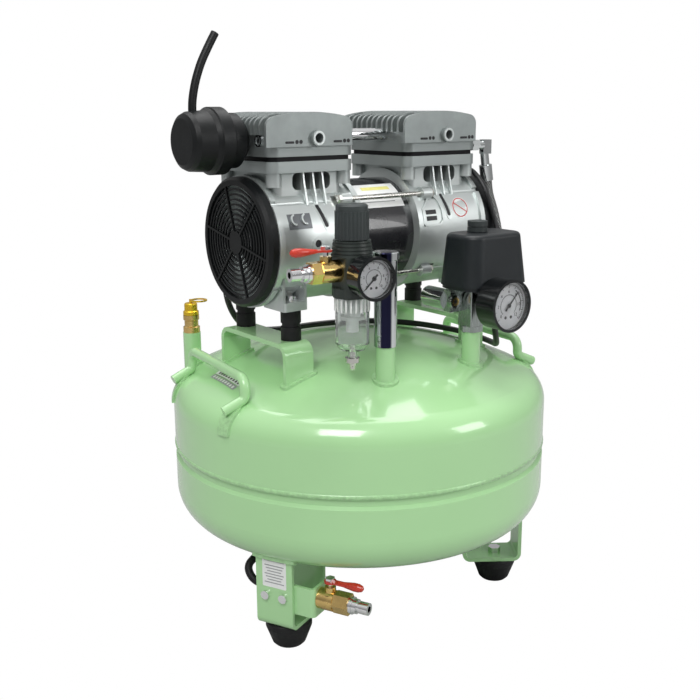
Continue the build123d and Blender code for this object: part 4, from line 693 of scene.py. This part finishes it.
def louvres(bm):
    """Two slits inside the shield's frame, drawn as dark sheets of painted shade."""
    for arc_low in (12.6, 19.2):
        wrapped_slab(bm, ((43 * MM, arc_low * MM), (57 * MM, (arc_low + 4.6) * MM)),
                     BARREL_R, 0.25 * MM)


piece_from("louvres", louvres, black_ink_and_hole_shade)


def recess(bm):
    """Painted shade: a darker sheet on the ground behind the curled lugs."""
    wrapped_slab(bm, ((-126.5 * MM, 16 * MM), (-100.5 * MM, 31 * MM)), BARREL_R, 0.2 * MM)


piece_from("left_recess", recess, painted_recess_shade)


def hooks(bm):
    """Two curled lugs in the recess of the left-hand barrel."""
    middle_arc = 25
    parts = 13

    def curl(middle_x, half_width, half_height):
        angles = [radians(100 + 14 * part) for part in range(parts + 1)]
        return [((middle_x + half_width * cos(angle)) * MM,
                 (middle_arc + half_height * sin(angle)) * MM) for angle in angles]

    for middle_x in (-119, -107):
        outer = curl(middle_x, 5, 5.5)
        inner = curl(middle_x, 3.4, 3.9)
        for part in range(parts):
            slab(bm, (outer[part], outer[part + 1], inner[part + 1], inner[part]),
                 on_barrel, 2.2 * MM)


piece_from("left_hooks", hooks, cast_silver)


BOSS_MIDDLE = (-96 * MM, 1 * MM)
BOSS_BORE = circle(3.6 * MM, BOSS_MIDDLE, 28)


def tapped_boss(bm):
    """A round boss low on the left-hand barrel."""
    band(bm, circle(6.2 * MM, BOSS_MIDDLE, 28), BOSS_BORE, on_barrel, 1.4 * MM,
         base=-0.3 * MM)


def tapped_hole(bm):
    """The hole in that boss, drawn as a dark disc of painted shade."""
    slab(bm, BOSS_BORE, on_barrel, 0.3 * MM)


piece_from("left_tapped_boss", tapped_boss, cast_silver)
piece_from("left_tapped_hole", tapped_hole, black_ink_and_hole_shade)


# ---------------------------------------------------------------- labels
PAPER_T = 0.12 * MM
PLATE_T = 0.2 * MM
INK_T = 0.1 * MM


def sticker(bm):
    """Round sticker on the right-hand barrel: a red ring and bar on white."""
    middle = Vector((92, 24)) * MM
    parts = 8
    bar_turn = 2.55
    bar_half = 9.4 * MM
    bar_dir = Vector((cos(bar_turn), sin(bar_turn)))
    step = bar_dir * 2 * bar_half / parts
    side = Vector((-sin(bar_turn), cos(bar_turn))) * 0.5 * MM
    slab(bm, circle(11 * MM, middle, 40), on_barrel, PAPER_T, index=0)
    band(bm, circle(10.4 * MM, middle, 40), circle(bar_half, middle, 40), on_barrel,
         INK_T, base=PAPER_T, index=1)
    for part in range(parts):
        a = middle - bar_dir * bar_half + step * part
        slab(bm, (tuple(a - side), tuple(a + step - side), tuple(a + step + side),
                  tuple(a + side)), on_barrel, INK_T, base=PAPER_T, index=1)


piece_from("barrel_sticker", sticker, [paper, red_ink])

STATOR_LABEL_X = (-34 * MM, 24 * MM)


def stator_label(bm):
    """White plate on the motor with a yellow band and grey lines."""
    left, right = STATOR_LABEL_X
    wrapped_slab(bm, ((left, 30 * MM), (right, 62 * MM)), STATOR_R, PLATE_T, index=0)
    wrapped_slab(bm, ((left + 14 * MM, 52 * MM), (right - 8 * MM, 57 * MM)), STATOR_R,
                 INK_T, base=PLATE_T, index=1)
    for row in (36, 40, 44):
        wrapped_slab(bm, ((left + 6 * MM, row * MM), (right - 10 * MM, (row + 1) * MM)),
                     STATOR_R, INK_T, base=PLATE_T, index=2)


piece_from("stator_label", stator_label, [paper, yellow_ink, grey_ink])

# the tank's crown is part of a ball, which a smaller knuckle joins to the round side
TANK_R = 200 * MM
CROWN_R = 439 * MM
KNUCKLE_R = 30 * MM
KNUCKLE_Z = 224 * MM
CROWN_Z = KNUCKLE_Z - sqrt((CROWN_R - KNUCKLE_R) ** 2 - (TANK_R - KNUCKLE_R) ** 2)


def on_crown(x, y, height):
    """A point on the tank's crown, or a height above it."""
    z = CROWN_Z + sqrt(CROWN_R ** 2 - x * x - y * y)
    lift = (Vector((x, y, z)) - Vector((0, 0, CROWN_Z))).normalized() * height
    return Vector((x, y, z)) + lift


def shoulder_label(bm):
    """Two striped plates on the tank's shoulder."""
    corner = Vector((-167, -14)) * MM
    along = Vector((6, 55)) * MM
    across = Vector((12.5, 1)) * MM

    def place(u, v, height):
        spot = corner + along * u + across * v
        return on_crown(spot.x, spot.y, height)

    def patch(u0, u1, v0, v1):
        return [(u0, v0), (u1, v0), (u1, v1), (u0, v1)]

    slab(bm, divided(patch(0, 1, 0, 0.46), 0.1), place, PLATE_T, index=0)
    slab(bm, divided(patch(0, 1, 0.54, 1), 0.1), place, PLATE_T, index=1)
    for stripe in range(9):
        u = 0.06 + stripe * 0.1
        slab(bm, patch(u, u + 0.06, 0.1, 0.36), place, INK_T, base=PLATE_T, index=1)
        slab(bm, patch(u, u + 0.05, 0.66, 0.88), place, INK_T, base=PLATE_T, index=2)


piece_from("shoulder_label", shoulder_label, [grey_ink, paper, black_ink_and_hole_shade])

LEG_TURN = radians(-155)
LEG_FACE_R = 182 * MM


def on_leg(side, height, lift):
    """A point on the drain leg's outer face."""
    out = LEG_FACE_R + lift
    return Vector((out * cos(LEG_TURN) - side * sin(LEG_TURN),
                   out * sin(LEG_TURN) + side * cos(LEG_TURN), height))


def leg_label(bm):
    """A plate on the drain leg, with a heading and seven rows."""
    plate_t = 0.15 * MM
    side = 1 * MM
    slab(bm, rounded(27 * MM, 34 * MM, 1.2 * MM, (side, 88 * MM)), on_leg, plate_t,
         index=0)
    slab(bm, rounded(23 * MM, 4 * MM, 0.5 * MM, (side, 100.5 * MM)), on_leg, INK_T,
         base=plate_t, index=1)
    for row in range(7):
        width = 22 - 3 * (row % 3)
        slab(bm, rounded(width * MM, 1.0 * MM, 0.3 * MM, (side, (94 - 3 * row) * MM)),
             on_leg, INK_T, base=plate_t, index=1)


piece_from("leg_label", leg_label, [paper, grey_ink])

# ---------------------------------------------------------------- regulator bowl
BOWL_R = 16 * MM


def bowl_ribs(bm):
    """Upright ribs round the top of the clear bowl."""
    rib_count = 22
    for rib in range(rib_count):
        angle = 2 * pi * rib / rib_count

        def place(u, v, height):
            out = BOWL_R + height
            turn = angle + u / BOWL_R
            return REGULATOR + Vector((out * cos(turn), out * sin(turn), v))

        slab(bm, rounded(1.5 * MM, 12 * MM, 0.6 * MM, (0, 350 * MM), steps=3), place,
             0.8 * MM)


piece_from("bowl_ribs", bowl_ribs, white_moulding)

# ---------------------------------------------------------------- motor lead
LEAD_ROUTE = (
    (-117, 57, 370), (-118, 68, 368), (-120, 75, 353), (-118, 77, 331), (-109, 78, 310),
    (-94, 80, 294), (-72, 80, 288.6), (-46, 72, 288.4), (-14, 58, 291.6), (20, 42, 293.0),
    (54, 28, 291.2), (86, 14, 287.0), (112, 2, 281.6), (134, -14, 276.4),
    (144, -38, 271.6), (140, -62, 270.8), (127, -83, 273.4), (111, -98, 284),
    (101.5, -103.5, 303), (100, -104, 320), (100, -104, 336.5),
)
LEAD_D = 6.5 * MM
lead_curve = bpy.data.curves.new("motor_lead_line", "CURVE")
lead_curve.dimensions = "3D"
lead_curve.bevel_depth = LEAD_D / 2
lead_curve.bevel_resolution = 5
lead_curve.resolution_u = 12
lead_curve.use_fill_caps = True
spline = lead_curve.splines.new("NURBS")
spline.points.add(len(LEAD_ROUTE) - 1)
for point, spot in zip(spline.points, LEAD_ROUTE):
    point.co = (*(value * MM for value in spot), 1.0)
spline.order_u = 3
spline.use_endpoint_u = True
lead_curve.materials.append(cable_jacket)
lead = bpy.data.objects.new("motor_lead_cord", lead_curve)
bpy.context.scene.collection.objects.link(lead)
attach(lead, "frame")
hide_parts("motor_lead")

# ---------------------------------------------------------------- floor, light and camera
WHITE = (1.0, 1.0, 1.0, 1.0)


def white_to_camera(nodes, links, lit, plain_kind, output):
    """The camera sees plain white, and all other rays meet the lit shader."""
    plain = nodes.new(plain_kind)
    plain.inputs["Color"].default_value = WHITE
    path = nodes.new("ShaderNodeLightPath")
    choice = nodes.new("ShaderNodeMixShader")
    links.new(path.outputs["Is Camera Ray"], choice.inputs["Fac"])
    links.new(lit, choice.inputs[1])
    links.new(plain.outputs[0], choice.inputs[2])
    links.new(choice.outputs["Shader"], nodes[output].inputs["Surface"])


floor_mesh = bpy.data.meshes.new("floor")
bm = bmesh.new()
bmesh.ops.create_grid(bm, x_segments=1, y_segments=1, size=4)
bm.to_mesh(floor_mesh)
bm.free()
floor_finish = Finish("floor_paint", roughness=0.7)
floor_finish.colour(floor_finish.ramp(floor_finish.noise(1, 2.0), (
    (0.3, (0.44, 0.44, 0.44)), (0.7, (0.46, 0.46, 0.46)))))
white_to_camera(floor_finish.nodes, floor_finish.links, floor_finish.shader.outputs["BSDF"],
                "ShaderNodeEmission", "Material Output")
floor_mesh.materials.append(floor_finish.material)
floor = bpy.data.objects.new("floor", floor_mesh)
bpy.context.scene.collection.objects.link(floor)

world = bpy.data.worlds.new("studio")
world.use_nodes = True
world_nodes = world.node_tree.nodes
world_links = world.node_tree.links
direction = world_nodes.new("ShaderNodeTexCoord")
height_of = world_nodes.new("ShaderNodeSeparateXYZ")
world_links.new(direction.outputs["Generated"], height_of.inputs["Vector"])
studio = world_nodes.new("ShaderNodeValToRGB")
studio.color_ramp.elements.new(0.3)
for element, (position, grey) in zip(studio.color_ramp.elements, (
        (0.0, 0.28), (0.3, 0.32), (1.0, 0.9))):
    element.position = position
    element.color = (grey, grey, grey, 1.0)
world_links.new(height_of.outputs["Z"], studio.inputs["Fac"])
world_links.new(studio.outputs["Color"], world_nodes["Background"].inputs["Color"])
white_to_camera(world_nodes, world_links, world_nodes["Background"].outputs["Background"],
                "ShaderNodeBackground", "World Output")
bpy.context.scene.world = world


def softbox(name, spot, aim, size, power):
    """A square area light that points at a place."""
    light = bpy.data.lights.new(name, "AREA")
    light.size = size
    light.energy = power
    lamp = bpy.data.objects.new(name, light)
    bpy.context.scene.collection.objects.link(lamp)
    lamp.location = spot
    lamp.rotation_euler = (Vector(aim) - Vector(spot)).to_track_quat("-Z", "Y").to_euler()


CENTRE = (0.0, 0.0, 0.3)
softbox("key", (-1.3, -1.1, 1.9), CENTRE, 0.9, 24)
softbox("fill", (1.0, -1.7, 1.0), CENTRE, 0.7, 9)
softbox("top", (0.2, 0.4, 2.2), CENTRE, 1.6, 26)

CAMERA_PLACE = (-0.6417, -0.8330, 0.5268)
FOCAL_LENGTH = 51.2  # for a sensor 36 mm wide
HEADING = radians(37.1)
PITCH = radians(13.7)
ROLL = radians(-0.3)
forward = Vector((sin(HEADING) * cos(PITCH), cos(HEADING) * cos(PITCH), -sin(PITCH)))
level = Vector((cos(HEADING), -sin(HEADING), 0.0))
above = level.cross(forward)
camera_right = level * cos(ROLL) + above * sin(ROLL)
camera_up = above * cos(ROLL) - level * sin(ROLL)
lens = bpy.data.cameras.new("camera")
lens.sensor_width = 36.0
lens.lens = FOCAL_LENGTH
camera = bpy.data.objects.new("camera", lens)
bpy.context.scene.collection.objects.link(camera)
camera.matrix_world = Matrix.Translation(CAMERA_PLACE) @ Matrix(
    (camera_right, camera_up, -forward)).transposed().to_4x4()
bpy.context.scene.camera = camera
bpy.context.scene.view_settings.view_transform = "Standard"
